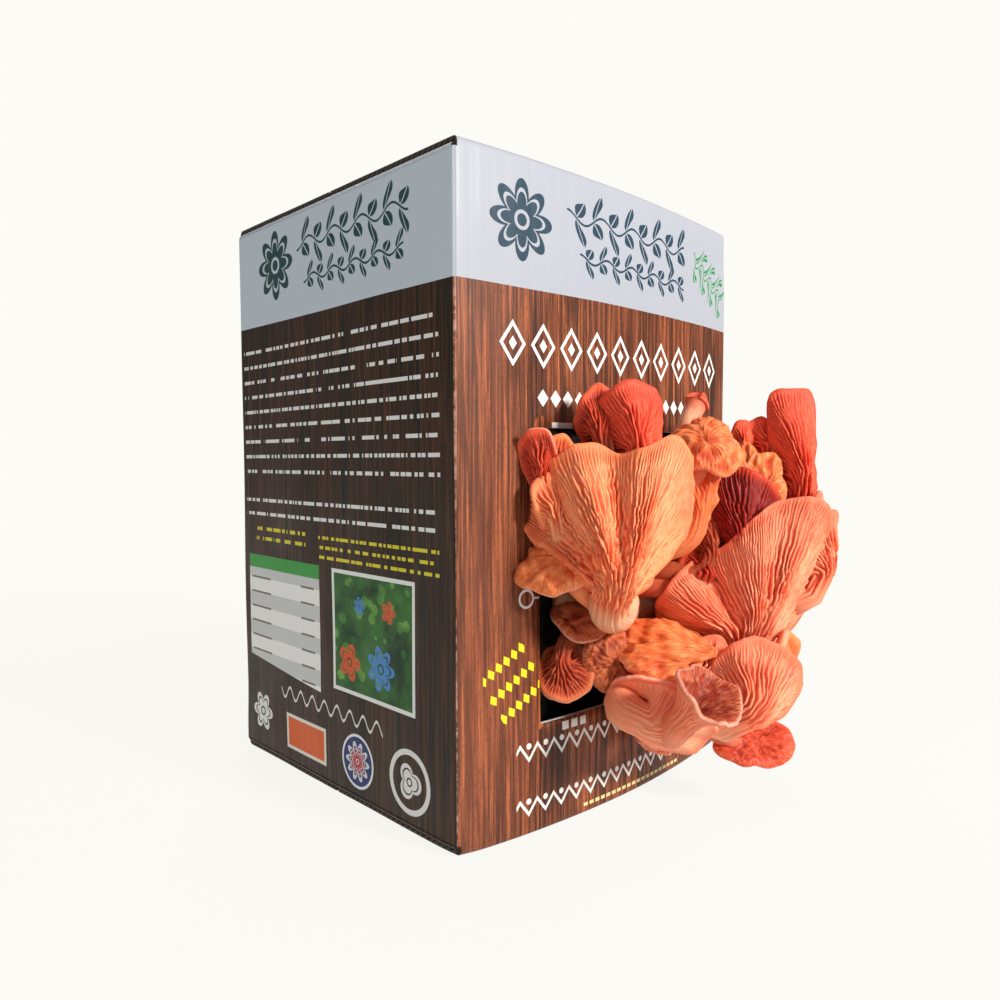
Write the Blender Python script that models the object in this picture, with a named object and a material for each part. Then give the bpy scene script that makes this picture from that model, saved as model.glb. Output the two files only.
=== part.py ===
"""Oyster mushroom grow kit: a carton with a window, a grow bag round its block, and the cluster that grew out.

Axes: X to the right along the front panel, Y from the front panel to the back, Z up.
The origin is the middle of the carton's base. Lengths are in millimetres until a mesh is made.
"""

import math

import bmesh
import bpy
import numpy as np
from mathutils import Vector
from mathutils.bvhtree import BVHTree

MM = 0.001

# Carton
BOX_WIDTH = 160.0
BOX_DEPTH = 145.0
BOX_HEIGHT = 229.0
BOARD = 1.8
FLAP_LAYERS = 2
BOX_CORNER = 1.6
BULGE_TOP = 5.0
BULGE_BOTTOM = 8.4
PANEL_STRIPS = 8
FLAP_SEAM = 1.2
WINDOW_HALF_WIDTH = 46.5
WINDOW_BOTTOM = 38.0
WINDOW_TOP = 139.5

# Grow bag and block
BLOCK_WIDTH = 146.0
BLOCK_FRONT = -66.0
BLOCK_BACK = 66.0
BLOCK_TOP = 186.0
BLOCK_CORNER = 7.0
FILM = 0.8
BAG_FOLD = (112.0, 5.0, 26.0)
BAG_FOLD_CORNER = 2.0

# Space between neighbours, and what a cut adds to it because slanting faces come closer
GAP = 0.3
CUT_MARGIN = 0.05

# How far a cutter reaches past what it cuts
PAST = 5.0

# Clump where the stems join
CLUMP_CENTRE = (4.0, -74.0, 80.0)
CLUMP_RADII = (38.0, 9.5, 38.0)
CLUMP_LUMPS = 0.07
CLUMP_WAVES = (5.1, 4.3, 6.7, 2.0)
CLUMP_PHASE = 1.3

# Share of the rim's own length, against the plain angle, in how the spokes of a cap are spaced
RIM_SPACING = 0.72

STEM_STEPS = 2
STEM_SIDES = 8

# Shares of a stem's length and of a cap's reach at which their curves are still straight
STEM_STRAIGHT = 0.45
CAP_STRAIGHT = 0.42
RIM_STRAIGHT = 0.38
RIM_SWELLING = 0.6

# The cap starts a little inside the stem's surface, and its crown lies this far onward and back, times its flesh
CAP_START = 0.95
CROWN_ONWARD = 0.85
CROWN_BACK = 0.9

# Reaches over which the belly, the flesh and the ruffles come in
FULL_BELLY = 30.0
FULL_FLESH = 20.0
FULL_RUFFLE = 25.0

# Most faces that a fruit body keeps after it is cut: this many times its sides and rings, and some more
FACES_PER_SIDE = 6
FACES_EXTRA = 66

# Colours
PRINTED_BROWN = (0.23, 0.11, 0.07)
FILM_BLACK = (0.02, 0.025, 0.022)
BLOCK_STRAW = (0.62, 0.52, 0.40)
STEM_CREAM = (0.90, 0.74, 0.60)
FLESH = (0.93, 0.42, 0.26)


def mushroom(name, root, neck, stem, faces, leans, rise, rim, **more):
    """One fruit body.

    root and neck: the ends of the stem. stem: its radius at each.
    faces: where the gills look, as degrees to the right of straight ahead and degrees up.
    leans: how far the spread of the cap turns clockwise from upright, seen from the gill side.
    rise: the stem's direction at the neck. out: its direction at the root.
    rim: (degrees clockwise from the spread, reach from the neck, lift towards the gill side).
    thick: flesh at the crown and at the rim. belly: how far the gill side swells out.
    curl: degrees that the rim turns towards the gill side. sides: spokes. rings: steps from neck to rim.
    stem_in_front: whether the stem stands clear of the caps round it, and doesn't give way to them.
    """
    shape = dict(out=(0, -1, 0.2), thick=(5, 1.8), belly=2, curl=0, ruffle=(0, 0), sides=12, rings=2)
    shape.update(stem_in_front=False)
    shape.update(more)
    shape.update(name="mushroom_" + name, root=root, neck=neck, stem=stem, faces=faces, leans=leans)
    shape.update(rise=rise, rim=rim)
    return shape


# The largest and nearest come first, and each later one gives way to those before it.
MUSHROOMS = [
    mushroom(
        "left_fan", (-8, -80, 66), (-37, -101, 81), (9, 8), (-47, -4), 0, (-0.1, -0.25, 1),
        [(-118, 9, -9), (-85, 18, -8), (-66, 29, -7), (-58, 37, -8), (-50, 41, -8), (-40, 46, -7),
         (-33, 43, -9), (-25, 49, -6), (-14, 52, -5), (-3, 50, -7), (3, 46, 1), (11, 50, 0),
         (22, 58, -5), (29, 54, -8), (38, 46, -11), (48, 38, -13), (62, 25, -13), (75, 15, -11),
         (110, 8, -10), (180, 4, -12)],
        out=(-0.6, -1, 0.1), thick=(9, 1.8), belly=9, curl=-12, sides=32, rings=3,
        stem_in_front=True,
    ),
    mushroom(
        "right_fan", (18, -82, 62), (30, -118, 56), (9, 7.5), (-50, -8), 0, (0.1, -0.35, 1),
        [(-110, 8, -8), (-82, 12, -7), (-74, 24, -6), (-67, 34, -5), (-60, 40, -3), (-50, 43, -2),
         (-40, 45, -1), (-33, 43, -3), (-25, 39, -7), (-14, 40, -6), (-4, 43, -5), (1, 49, -2),
         (8, 55, -3), (16, 59, -5), (25, 61, -8), (31, 53, -11), (38, 46, -12), (48, 36, -13),
         (60, 25, -12), (70, 16, -10), (105, 8, -9), (180, 5, -10)],
        out=(0.2, -1, -0.2), thick=(9, 1.8), belly=10, curl=-8, sides=32, rings=3,
    ),
    mushroom(
        "front_cup", (6, -82, 50), (-27, -122, 46), (6, 5), (166, -38), 180, (0.3, -0.8, 0.5),
        [(0, 11, -10), (45, 12, -11), (90, 16, -12), (135, 15, -10), (180, 12, -9),
         (-135, 12, -9), (-90, 13, -10), (-45, 12, -10)],
        thick=(3.2, 1.8), belly=0, curl=-45, sides=16,
    ),
    mushroom(
        "lower_fan", (20, -82, 54), (5, -124, 40), (7, 7), (-45, -12), 42, (0.5, -0.6, 0.6),
        [(-95, 9, -5), (-65, 20, -5), (-45, 25, -4), (-20, 27, -5), (5, 27, -6), (30, 25, -7),
         (55, 19, -6), (80, 14, -5), (125, 9, -7), (180, 7, -9)],
        thick=(8, 2), belly=7, curl=-12, sides=18, rings=3,
    ),
    mushroom(
        "front_fibrous", (-2, -82, 60), (-6, -104, 60), (5, 5), (150, -50), 70, (-0.1, -1, 0.2),
        [(-90, 12, 1), (-45, 16, 2), (-10, 20, 2), (20, 19, 1), (55, 17, 2), (90, 13, 1),
         (135, 10, 0), (180, 9, -1), (-135, 10, 0)],
        thick=(9, 2.2), belly=0, curl=25, ruffle=(6, 1.2), sides=16,
    ),
    mushroom(
        "top_round", (4, -82, 104), (-25, -103, 129), (6, 5), (-40, -3), 0, (-0.2, -0.1, 1),
        [(-80, 9, -8), (-60, 13, -6), (-46, 18, -6), (-33, 23, -4), (-20, 25, -2), (-8, 26, -2),
         (3, 25, -3), (14, 24, -4), (26, 20, -6), (38, 16, -8), (50, 12, -8), (80, 7, -8),
         (180, 4, -9)],
        thick=(6, 1.8), belly=5, curl=-5, sides=16, rings=3,
    ),
    mushroom(
        "right_tall", (34, -82, 102), (53, -122, 113), (7, 6.5), (-50, -2), -4, (0.1, -0.1, 1),
        [(-95, 7, -6), (-60, 9, -6), (-32, 18, -5), (-22, 33, -3), (-17, 38, -3), (-9, 42, -3),
         (2, 43, -4), (12, 40, -7), (20, 27, -9), (32, 17, -9), (55, 10, -8), (90, 7, -8),
         (180, 5, -9)],
        thick=(7, 1.8), belly=5, curl=-8, sides=18, rings=3,
    ),
    mushroom(
        "right_split", (38, -82, 84), (50, -132, 83), (4.5, 4), (-10, 0), 4, (0.4, -0.1, 1),
        [(-80, 8, -3), (-45, 14, -2), (-22, 26, -1), (-6, 34, 0), (5, 25, -2), (20, 28, -1),
         (38, 18, -3), (70, 8, -4), (180, 5, -6)],
        belly=3, sides=16,
    ),
    mushroom(
        "upper_lumpy", (26, -82, 96), (33, -118, 119), (5, 5), (130, -35), 20, (0.1, -0.6, 0.8),
        [(-90, 12, 0), (-50, 15, 2), (-15, 18, 2), (20, 17, 1), (55, 13, 2), (95, 11, 0),
         (140, 9, -1), (180, 8, -2), (-135, 9, -1)],
        thick=(8, 4.5), belly=0, curl=40, ruffle=(7, 1.4), sides=16,
    ),
    mushroom(
        "middle_deep", (16, -82, 88), (21, -116, 89), (6, 6), (-50, -6), 2, (0.1, -0.2, 1),
        [(-80, 8, -6), (-45, 14, -5), (-25, 29, -5), (-12, 37, -4), (0, 35, -4), (12, 36, -4),
         (28, 35, -5), (45, 24, -6), (60, 14, -7), (100, 8, -8), (180, 5, -9)],
        thick=(6, 1.8), belly=4, curl=-5, sides=18, rings=3,
    ),
    mushroom(
        "lower_smooth", (-8, -82, 50), (-28, -106, 42), (8, 6), (-50, -35), 112, (0.6, -0.8, -0.3),
        [(-100, 13, -5), (-60, 22, -2), (-25, 30, 0), (0, 29, 0), (22, 23, 0), (50, 16, -2),
         (85, 10, -5), (180, 9, -10)],
        out=(-0.1, -1, -0.3), thick=(9, 2), belly=5, curl=10, sides=18, rings=3,
    ),
    mushroom(
        "top_hooded", (12, -82, 106), (13, -106, 130), (4.5, 4.5), (-75, -35), 8, (0.2, -0.1, 1),
        [(-90, 9, 3), (-55, 13, 5), (-25, 18, 5), (0, 19, 4), (25, 18, 3), (55, 14, 3),
         (85, 10, 2), (120, 8, 0), (180, 6, -3), (-130, 7, 0)],
        thick=(6, 1.8), belly=-3, curl=55, sides=16,
    ),
    mushroom(
        "left_rolled", (-14, -80, 64), (-39, -92, 85), (5, 4.5), (-70, -20), -80, (-0.5, 0.2, 0.8),
        [(-70, 10, 0), (-40, 17, 1), (-12, 24, 4), (12, 24, 5), (35, 17, 4), (60, 11, 2),
         (110, 6, -3), (180, 4, -7), (-115, 6, -3)],
        thick=(6, 3.4), belly=-1, curl=50, sides=14,
    ),
    mushroom(
        "left_behind", (-16, -80, 84), (-50, -88, 109), (4, 3.5), (-40, 0), -10, (-0.3, -0.2, 1),
        [(-50, 8, 0), (-20, 14, -1), (5, 15, -1), (30, 10, -1), (70, 6, -3), (180, 4, -6),
         (-90, 5, -3)],
        thick=(4.5, 1.8),
    ),
    mushroom(
        "left_small", (-16, -80, 100), (-46, -87, 121), (3.6, 3.4), (-38, -2), 3, (-0.3, 0, 1),
        [(-80, 6, -3), (-45, 10, -2), (-22, 14, -1), (0, 15.5, -1), (20, 13, -2), (42, 9, -3),
         (80, 6, -4), (180, 4, -6)],
        thick=(4.5, 1.8),
    ),
    mushroom(
        "left_shaded", (-20, -78, 98), (-49, -83, 121), (3.6, 3.4), (-62, -15), -8, (-0.5, 0, 1),
        [(-75, 7, -1), (-45, 11, 0), (-25, 16, 0), (-5, 18, 1), (10, 17, 0), (30, 9, -1),
         (70, 5, -3), (180, 4, -6)],
        thick=(4.5, 1.8), curl=20,
    ),
    mushroom(
        "top_narrow", (-6, -82, 104), (-31, -92, 135), (4.5, 3.6), (-52, -5), -4, (-0.1, 0, 1),
        [(-90, 7, -4), (-45, 12, -2), (-20, 16, 0), (0, 19, -1), (15, 16, -3), (40, 9, -5),
         (80, 6, -6), (180, 4, -7)],
        belly=3,
    ),
    mushroom(
        "top_bud", (8, -82, 112), (29, -92, 149), (3.2, 3.4), (-60, -10), 12, (0.45, 0, 1),
        [(-90, 4.6, 0), (-40, 5.5, 1), (0, 6, 1), (40, 5.4, 1), (90, 4.6, 0), (180, 4.5, -1)],
        thick=(4.5, 2), belly=0, curl=30, sides=8,
    ),
    mushroom(
        "right_narrow", (30, -80, 108), (49, -110, 130), (4, 4), (-40, -5), -12, (0.1, 0, 1),
        [(-80, 7, -4), (-40, 10, -2), (-15, 14, -1), (5, 15, -1), (30, 11, -3), (70, 6, -4),
         (180, 4, -6)],
    ),
    mushroom(
        "upper_small", (22, -80, 110), (38, -106, 132), (3.6, 3.2), (-40, 0), 0, (0.1, 0, 1),
        [(-80, 5, -4), (-35, 7, -2), (-10, 11, -1), (10, 11, -1), (35, 7, -2), (80, 5, -4),
         (180, 4, -5)],
        thick=(4.5, 1.8), belly=1, sides=10,
    ),
    mushroom(
        "middle_folded", (6, -82, 86), (18, -104, 92), (4, 4), (-34, 0), 0, (0.1, -0.1, 1),
        [(-80, 6, -5), (-35, 10, -4), (-12, 19, -2), (2, 22, -1), (16, 19, -3), (35, 11, -5),
         (80, 6, -6), (180, 4, -7)],
        thick=(4, 1.8), belly=3,
    ),
    mushroom(
        "middle_ruffled", (4, -82, 92), (10, -104, 107), (4, 3.6), (-30, -4), 10, (0.2, 0, 1),
        [(-80, 6, -4), (-40, 10, -3), (-15, 18, -2), (5, 23, 0), (18, 19, -2), (35, 12, -3),
         (70, 7, -4), (180, 4, -7)],
        thick=(5, 2.4), belly=1, curl=10, ruffle=(9, 1.2),
    ),
    mushroom(
        "middle_small", (4, -82, 80), (15, -104, 86), (4, 4), (-45, 25), -10, (0, -0.4, 0.8),
        [(-90, 7, -2), (-45, 10, -1), (-10, 12, 0), (25, 11, 0), (60, 9, -2), (110, 6, -3),
         (180, 5, -4)],
        thick=(6, 2.4), belly=3, curl=15,
    ),
    mushroom(
        "front_small", (8, -82, 56), (2, -112, 55), (4, 3.8), (-30, 0), 35, (0.3, -0.6, 0.5),
        [(-80, 6, -3), (-40, 9, -2), (0, 12, 0), (35, 11, -1), (70, 8, -3), (120, 5, -5),
         (180, 4, -6)],
    ),
    mushroom(
        "right_rolled", (28, -82, 60), (29, -130, 49), (4.5, 4.5), (10, 0), 15, (0.5, -0.4, 0.6),
        [(-90, 9, -1), (-45, 13, 0), (-10, 16, 1), (25, 13, 1), (60, 11, 0), (110, 7, -3),
         (180, 5, -6)],
        thick=(6, 3.2), curl=40, ruffle=(5, 1),
    ),
    mushroom(
        "bottom_fuzzy", (16, -82, 46), (21, -118, 23), (5, 4.5), (130, -38), -78, (0.9, -0.5, -0.1),
        [(-90, 8, 0), (-50, 12, 1), (-15, 17, 2), (10, 17, 2), (45, 12, 1), (90, 8, 1),
         (135, 8, 0), (180, 11, -1), (-135, 8, 0)],
        thick=(5, 2), belly=0, curl=30, ruffle=(5, 0.8), sides=14,
    ),
    mushroom(
        "corner_curled", (-18, -74, 62), (-33, -80, 71), (4, 3.6), (140, -50), -60, (-0.7, -0.7, 0.4),
        [(-90, 8, 0), (-45, 11, 1), (0, 12, 1), (45, 10, 1), (90, 8, 0), (180, 5, -2)],
        out=(-0.7, -0.6, 0.3), thick=(4.5, 2), belly=0, curl=25,
    ),
    mushroom(
        "corner_hanging", (-20, -74, 56), (-37, -79, 53), (3.6, 3.4), (135, 25), -155,
        (-0.6, -0.6, -0.4),
        [(80, 8, 1), (45, 12, 1), (15, 13, 1), (-15, 13, 1), (-45, 12, 1), (-80, 7, 1),
         (180, 5, 0)],
        out=(-0.8, -0.5, 0), thick=(4.5, 1.8), belly=0, curl=25,
    ),
    mushroom(
        "corner_rough", (-18, -76, 60), (-22, -88, 60), (5, 4.2), (150, -10), 175,
        (-0.1, -0.7, -0.7),
        [(-90, 8, 0), (-45, 9, 1), (0, 12, 2), (45, 11, 1), (90, 8, 0), (180, 6, -1)],
        thick=(5, 3), belly=0, curl=40, ruffle=(5, 0.8),
    ),
    mushroom(
        "centre_upright", (2, -84, 98), (-2, -104, 108), (4.5, 4.2), (0, 8), -8, (-0.1, -0.2, 1),
        [(-85, 8, -4), (-50, 14, -3), (-20, 19, -2), (10, 20, -2), (38, 16, -3), (70, 10, -4),
         (120, 6, -5), (180, 5, -6)],
        thick=(5, 2), belly=3, sides=14,
    ),
    mushroom(
        "side_broad", (38, -82, 76), (60, -106, 66), (6, 4.5), (48, -12), 10, (0.5, -0.2, 0.9),
        [(-95, 9, -5), (-60, 19, -4), (-38, 27, -4), (-15, 32, -4), (8, 31, -4), (30, 28, -5),
         (55, 20, -6), (85, 13, -6), (130, 7, -7), (180, 6, -8)],
        thick=(6, 2), belly=6, curl=-8, sides=18, rings=3,
    ),
    mushroom(
        "side_tall", (38, -80, 104), (62, -92, 112), (5, 4.8), (62, -8), -6, (0.5, 0, 0.9),
        [(-90, 9, -4), (-55, 16, -3), (-25, 24, -3), (0, 26, -3), (25, 22, -4), (50, 15, -4),
         (90, 9, -5), (180, 5, -7)],
        thick=(5.5, 1.8), belly=4, curl=-5, sides=16,
    ),
    mushroom(
        "side_spreading", (30, -82, 54), (48, -104, 38), (5, 5), (30, -30), 60, (0.8, -0.3, 0.4),
        [(-95, 10, -3), (-55, 18, -2), (-20, 23, -1), (15, 22, -1), (50, 16, -2), (90, 11, -3),
         (135, 7, -5), (180, 6, -7)],
        thick=(6, 2), belly=4, curl=5, sides=16,
    ),
    mushroom(
        "bottom_drooping", (10, -80, 48), (4, -92, 22), (4.5, 4.5), (20, -65), 5, (0, -0.9, 0.1),
        [(-95, 9, -2), (-50, 14, -1), (-15, 17, 0), (20, 17, 0), (55, 13, -1), (95, 9, -3),
         (180, 6, -5)],
        out=(0, -0.4, -1), thick=(5, 2), curl=10,
    ),
]


def unit(vector):
    vector = np.asarray(vector, float)
    return vector / np.linalg.norm(vector, axis=-1, keepdims=True)


def cap_directions(shape):
    """Three unit directions: where the gills look, where the cap spreads, and across, clockwise of the spread."""
    turn, lift = np.radians(shape["faces"])
    gill = np.array([math.sin(turn) * math.cos(lift), -math.cos(turn) * math.cos(lift), math.sin(lift)])
    right = unit(np.cross((0, 0, 1), gill))
    upright = np.cross(gill, right)
    lean = math.radians(shape["leans"])
    spread = upright * math.cos(lean) + right * math.sin(lean)
    across = right * math.cos(lean) - upright * math.sin(lean)
    return gill, spread, across


def rim_at(rim, degrees):
    """Reach and lift at each angle, eased from one listed point to the next, all the way round."""
    points = np.array(sorted(rim), float)
    points = np.vstack([points, points[0] + (360, 0, 0)])
    angles = points[:, 0]
    degrees = (np.asarray(degrees) - angles[0]) % 360 + angles[0]
    index = np.clip(np.searchsorted(angles, degrees, side="right") - 1, 0, len(angles) - 2)
    step = (degrees - angles[index]) / (angles[index + 1] - angles[index])
    step = 0.5 * step + 0.5 * (0.5 - 0.5 * np.cos(np.pi * step))
    value = points[index] * (1 - step)[:, None] + points[index + 1] * step[:, None]
    return value[:, 1], value[:, 2]


def spoke_angles(shape):
    """The angle of each spoke, close together where the rim is far away, so that the rim has even steps."""
    fine = np.linspace(-180, 180, 721)
    reach, lift = rim_at(shape["rim"], fine)
    along = np.radians(fine)
    edge = np.stack([reach * np.cos(along), reach * np.sin(along), lift], axis=1)
    steps = np.linalg.norm(np.diff(edge, axis=0), axis=1)
    steps = steps / steps.sum() * RIM_SPACING + (1 - RIM_SPACING) / len(steps)
    run = np.concatenate([[0], np.cumsum(steps)])
    sides = shape["sides"]
    return np.radians(np.interp((np.arange(sides) + 0.5) / sides, run, fine))


def bezier(ends, t):
    """Point and direction on a cubic curve with these four points, each of which may be a row of points."""
    a, b, c, d = ends
    point = (1 - t) ** 3 * a + 3 * t * (1 - t) ** 2 * b + 3 * t * t * (1 - t) * c + t ** 3 * d
    along = (1 - t) ** 2 * (b - a) + 2 * t * (1 - t) * (c - b) + t * t * (d - c)
    return point, unit(along)


def stem_rings(shape, turns):
    """Rings of points from the root to the neck, and the stem's direction at the neck."""
    root, neck = np.array(shape["root"], float), np.array(shape["neck"], float)
    reach = np.linalg.norm(neck - root) * STEM_STRAIGHT
    curve = (root, root + unit(shape["out"]) * reach, neck - unit(shape["rise"]) * reach, neck)
    at_neck = before = unit(shape["rise"])
    front = unit(np.cross(cap_directions(shape)[2], at_neck))
    rings = []
    for step in range(STEM_STEPS, -1, -1):
        t = step / STEM_STEPS
        centre, along = bezier(curve, t)
        turn = Vector(before).rotation_difference(Vector(along))
        front = np.array(turn @ Vector(front))
        side = np.cross(along, front)
        before = along
        radius = shape["stem"][0] + (shape["stem"][1] - shape["stem"][0]) * t ** 0.8
        rings.insert(0, centre + radius * (np.cos(turns) * front + np.sin(turns) * side))
    return rings, at_neck


def crown_of(shape, along):
    """The middle of the cap's top side, behind the gills and a little past the neck."""
    gill = cap_directions(shape)[0]
    onward = along - gill * (along @ gill)
    return np.array(shape["neck"], float) + shape["thick"][0] * (CROWN_ONWARD * onward - CROWN_BACK * gill)


def cap_rings(shape, spokes, start, along):
    """Rings of the gill side from the neck to the rim, and of the top side back again."""
    gill, spread, across = cap_directions(shape)
    neck = np.array(shape["neck"], float)
    reach, lift = rim_at(shape["rim"], np.degrees(spokes[:, 0]))
    waves, swell = shape["ruffle"]
    lift = lift + swell * np.sin(waves * spokes[:, 0]) * np.clip(reach / FULL_RUFFLE, 0, 1)
    outward = np.cos(spokes) * spread + np.sin(spokes) * across
    rim = neck + reach[:, None] * outward + lift[:, None] * gill
    span = np.linalg.norm(rim - start, axis=1)[:, None]
    curl = math.radians(shape["curl"])
    arrive = math.cos(curl) * outward + math.sin(curl) * gill
    swelling = gill * shape["belly"] * np.clip((span - shape["stem"][1]) / FULL_BELLY, 0, 1)
    leave = start + along * span * CAP_STRAIGHT + swelling
    curve = (start, leave, rim - arrive * span * RIM_STRAIGHT + swelling * RIM_SWELLING, rim)
    count = shape["rings"]
    under = np.array([bezier(curve, step / count)[0] for step in range(count + 1)])
    around = np.roll(under, -1, axis=1) - np.roll(under, 1, axis=1)
    normal = unit(np.cross(around, np.gradient(under, axis=0)) + 1e-9)
    if np.sum(normal * gill) < 0:
        normal = -normal
    normal = unit(normal + 0.5 * np.roll(normal, 1, axis=1) + 0.5 * np.roll(normal, -1, axis=1))
    at_crown, at_rim = shape["thick"]
    room = np.clip(span / FULL_FLESH, 0, 1)
    over = []
    for step in range(count, 1, -1):
        share = step / count
        flesh = at_rim + (at_crown - at_rim) * (1 - share) ** 1.2 * room
        over.append(under[step] - normal[step] * flesh)
    return list(under), over


def put_in(collection, name, mesh, colour, roughness):
    """A new object with its own Principled material."""
    material = bpy.data.materials.new(name)
    material.use_nodes = True
    shader = material.node_tree.nodes["Principled BSDF"]
    shader.inputs["Base Color"].default_value = (*colour, 1)
    shader.inputs["Roughness"].default_value = roughness
    mesh.materials.clear()
    mesh.materials.append(material)
    obj = bpy.data.objects.new(name, mesh)
    collection.objects.link(obj)
    return obj


def mesh_from(work, name):
    """The finished mesh of a bmesh that was made in millimetres."""
    bmesh.ops.recalc_face_normals(work, faces=work.faces)
    if work.calc_volume(signed=True) < 0:
        bmesh.ops.reverse_faces(work, faces=work.faces)
    bmesh.ops.scale(work, vec=(MM, MM, MM), verts=work.verts)
    mesh = bpy.data.meshes.new(name)
    work.to_mesh(mesh)
    work.free()
    return mesh


def loft(first, rings, last):
    """A closed surface from a point through rings of points to another point."""
    work = bmesh.new()
    rows = [[work.verts.new(point) for point in ring] for ring in rings]
    first, last = work.verts.new(first), work.verts.new(last)
    sides = len(rows[0])
    for side in range(sides):
        after = (side + 1) % sides
        work.faces.new((first, rows[0][after], rows[0][side]))
        work.faces.new((last, rows[-1][side], rows[-1][after]))
        for low, high in zip(rows, rows[1:]):
            work.faces.new((low[side], low[after], high[after]))
            work.faces.new((low[side], high[after], high[side]))
    return work


def stem_and_cap(shape):
    """The two closed surfaces that together make the fruit body. The stem ends inside the cap's flesh."""
    turns = (np.arange(STEM_SIDES) + 0.5)[:, None] * math.tau / STEM_SIDES
    stem, along = stem_rings(shape, turns)
    neck = np.array(shape["neck"], float)
    crown = crown_of(shape, along)
    spokes = spoke_angles(shape)[:, None]
    start = neck + (stem_rings(shape, spokes)[0][-1] - neck) * CAP_START
    under, over = cap_rings(shape, spokes, start, along)
    return (
        loft(shape["root"], stem, (neck + crown) / 2),
        loft(neck + along * shape["stem"][1] * 0.1, under + over, crown),
    )


def grow_mushrooms(parts, cutters, taken):
    """All the fruit bodies, each cut back where another already stands.

    Caps come first, with the stems that stand in front of them, and then the stems that run in behind.
    """
    bodies = []
    for shape in MUSHROOMS:
        name = shape["name"]
        stem, cap = stem_and_cap(shape)
        spaces = [grown(work, name + "_space", cutters) for work in (stem, cap)]
        fruit = put_in(parts, name, mesh_from(cap, name), FLESH, 0.55)
        stem = cutter(cutters, name + "_stem", mesh_from(stem, name + "_stem"))
        if shape["stem_in_front"]:
            unite(fruit, stem)
        give_way(fruit, taken)
        taken += spaces if shape["stem_in_front"] else spaces[1:]
        bodies.append((shape, fruit, stem, spaces))
    for shape, fruit, stem, spaces in bodies:
        if not shape["stem_in_front"]:
            give_way(stem, [space for space in taken if space not in spaces])
            unite(fruit, stem)
            taken.append(spaces[0])
        simplify(fruit, FACES_PER_SIDE * shape["sides"] * shape["rings"] + FACES_EXTRA)


def unite(obj, other):
    join(obj, other)
    settle(obj)


def block_mesh(low, high, corner, segments, upright_only=False):
    """A cuboid between two corners with its edges rounded, or only its upright ones."""
    work = bmesh.new()
    bmesh.ops.create_cube(work, size=1)
    low, high = np.array(low, float), np.array(high, float)
    bmesh.ops.scale(work, vec=high - low, verts=work.verts)
    bmesh.ops.translate(work, vec=(low + high) / 2, verts=work.verts)
    if corner:
        edges = [e for e in work.edges if not upright_only or abs(e.verts[0].co.z - e.verts[1].co.z) > 1]
        bmesh.ops.bevel(work, geom=edges, offset=corner, segments=segments, profile=0.5, affect="EDGES")
    return work


def carton_shape(name, inset, bottom, top):
    """The carton's outline pulled in by inset, with the front panel bowed out as the block presses on it."""
    low = (-BOX_WIDTH / 2 + inset, -BOX_DEPTH / 2 + inset, bottom)
    high = (BOX_WIDTH / 2 - inset, BOX_DEPTH / 2 - inset, top)
    work = block_mesh(low, high, BOX_CORNER, 2, upright_only=True)
    for step in range(1, PANEL_STRIPS):
        across = (step / PANEL_STRIPS - 0.5) * (BOX_WIDTH - 2 * BOX_CORNER)
        everything = work.verts[:] + work.edges[:] + work.faces[:]
        bmesh.ops.bisect_plane(work, geom=everything, plane_co=(across, 0, 0), plane_no=(1, 0, 0))
    for vert in work.verts:
        if vert.co.y < low[1] + 0.01:
            rise = vert.co.z / BOX_HEIGHT
            bow = BULGE_BOTTOM + (BULGE_TOP - BULGE_BOTTOM) * rise
            vert.co.y -= bow * (1 - (2 * vert.co.x / BOX_WIDTH) ** 2)
    return mesh_from(work, name)


def cutter(collection, name, mesh):
    obj = bpy.data.objects.new(name, mesh)
    obj.hide_render = True
    obj.display_type = "WIRE"
    collection.objects.link(obj)
    return obj


def join_or_cut(obj, tool, operation):
    boolean = obj.modifiers.new(tool.name, "BOOLEAN")
    boolean.operation = operation
    boolean.solver = "EXACT"
    boolean.object = tool


def join(obj, tool):
    join_or_cut(obj, tool, "UNION")


def cut(obj, tool):
    join_or_cut(obj, tool, "DIFFERENCE")


def plain_cutter(collection, name, low, high):
    return cutter(collection, name, mesh_from(block_mesh(low, high, 0, 0), name))


def make_carton(parts, cutters):
    """Carton: folded board with outer flaps that meet over inner ones, and the window in the front panel."""
    box = put_in(parts, "box", carton_shape("box", 0, 0, BOX_HEIGHT), PRINTED_BROWN, 0.5)
    layers = BOARD * FLAP_LAYERS
    cut(box, cutter(cutters, "box_inside", carton_shape("box_inside", BOARD, layers, BOX_HEIGHT - layers)))
    front = -BOX_DEPTH / 2
    cut(box, plain_cutter(
        cutters, "box_window",
        (-WINDOW_HALF_WIDTH, front - BULGE_BOTTOM - PAST, WINDOW_BOTTOM),
        (WINDOW_HALF_WIDTH, front + BOARD + PAST, WINDOW_TOP),
    ))
    reach = BOX_WIDTH / 2 + PAST
    cut(box, plain_cutter(
        cutters, "box_top_seam",
        (-reach, -FLAP_SEAM / 2, BOX_HEIGHT - BOARD),
        (reach, FLAP_SEAM / 2, BOX_HEIGHT + PAST),
    ))
    return box


def block_corners(grow):
    """Lowest and highest corners of the block, grown on every side."""
    floor = BOARD * FLAP_LAYERS + GAP + FILM + GAP
    low = (-BLOCK_WIDTH / 2 - grow, BLOCK_FRONT - grow, floor - grow)
    high = (BLOCK_WIDTH / 2 + grow, BLOCK_BACK + grow, BLOCK_TOP + grow)
    return low, high


def make_block(parts):
    mesh = mesh_from(block_mesh(*block_corners(0), BLOCK_CORNER, 1), "substrate_block")
    return put_in(parts, "substrate_block", mesh, BLOCK_STRAW, 0.9)


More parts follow.
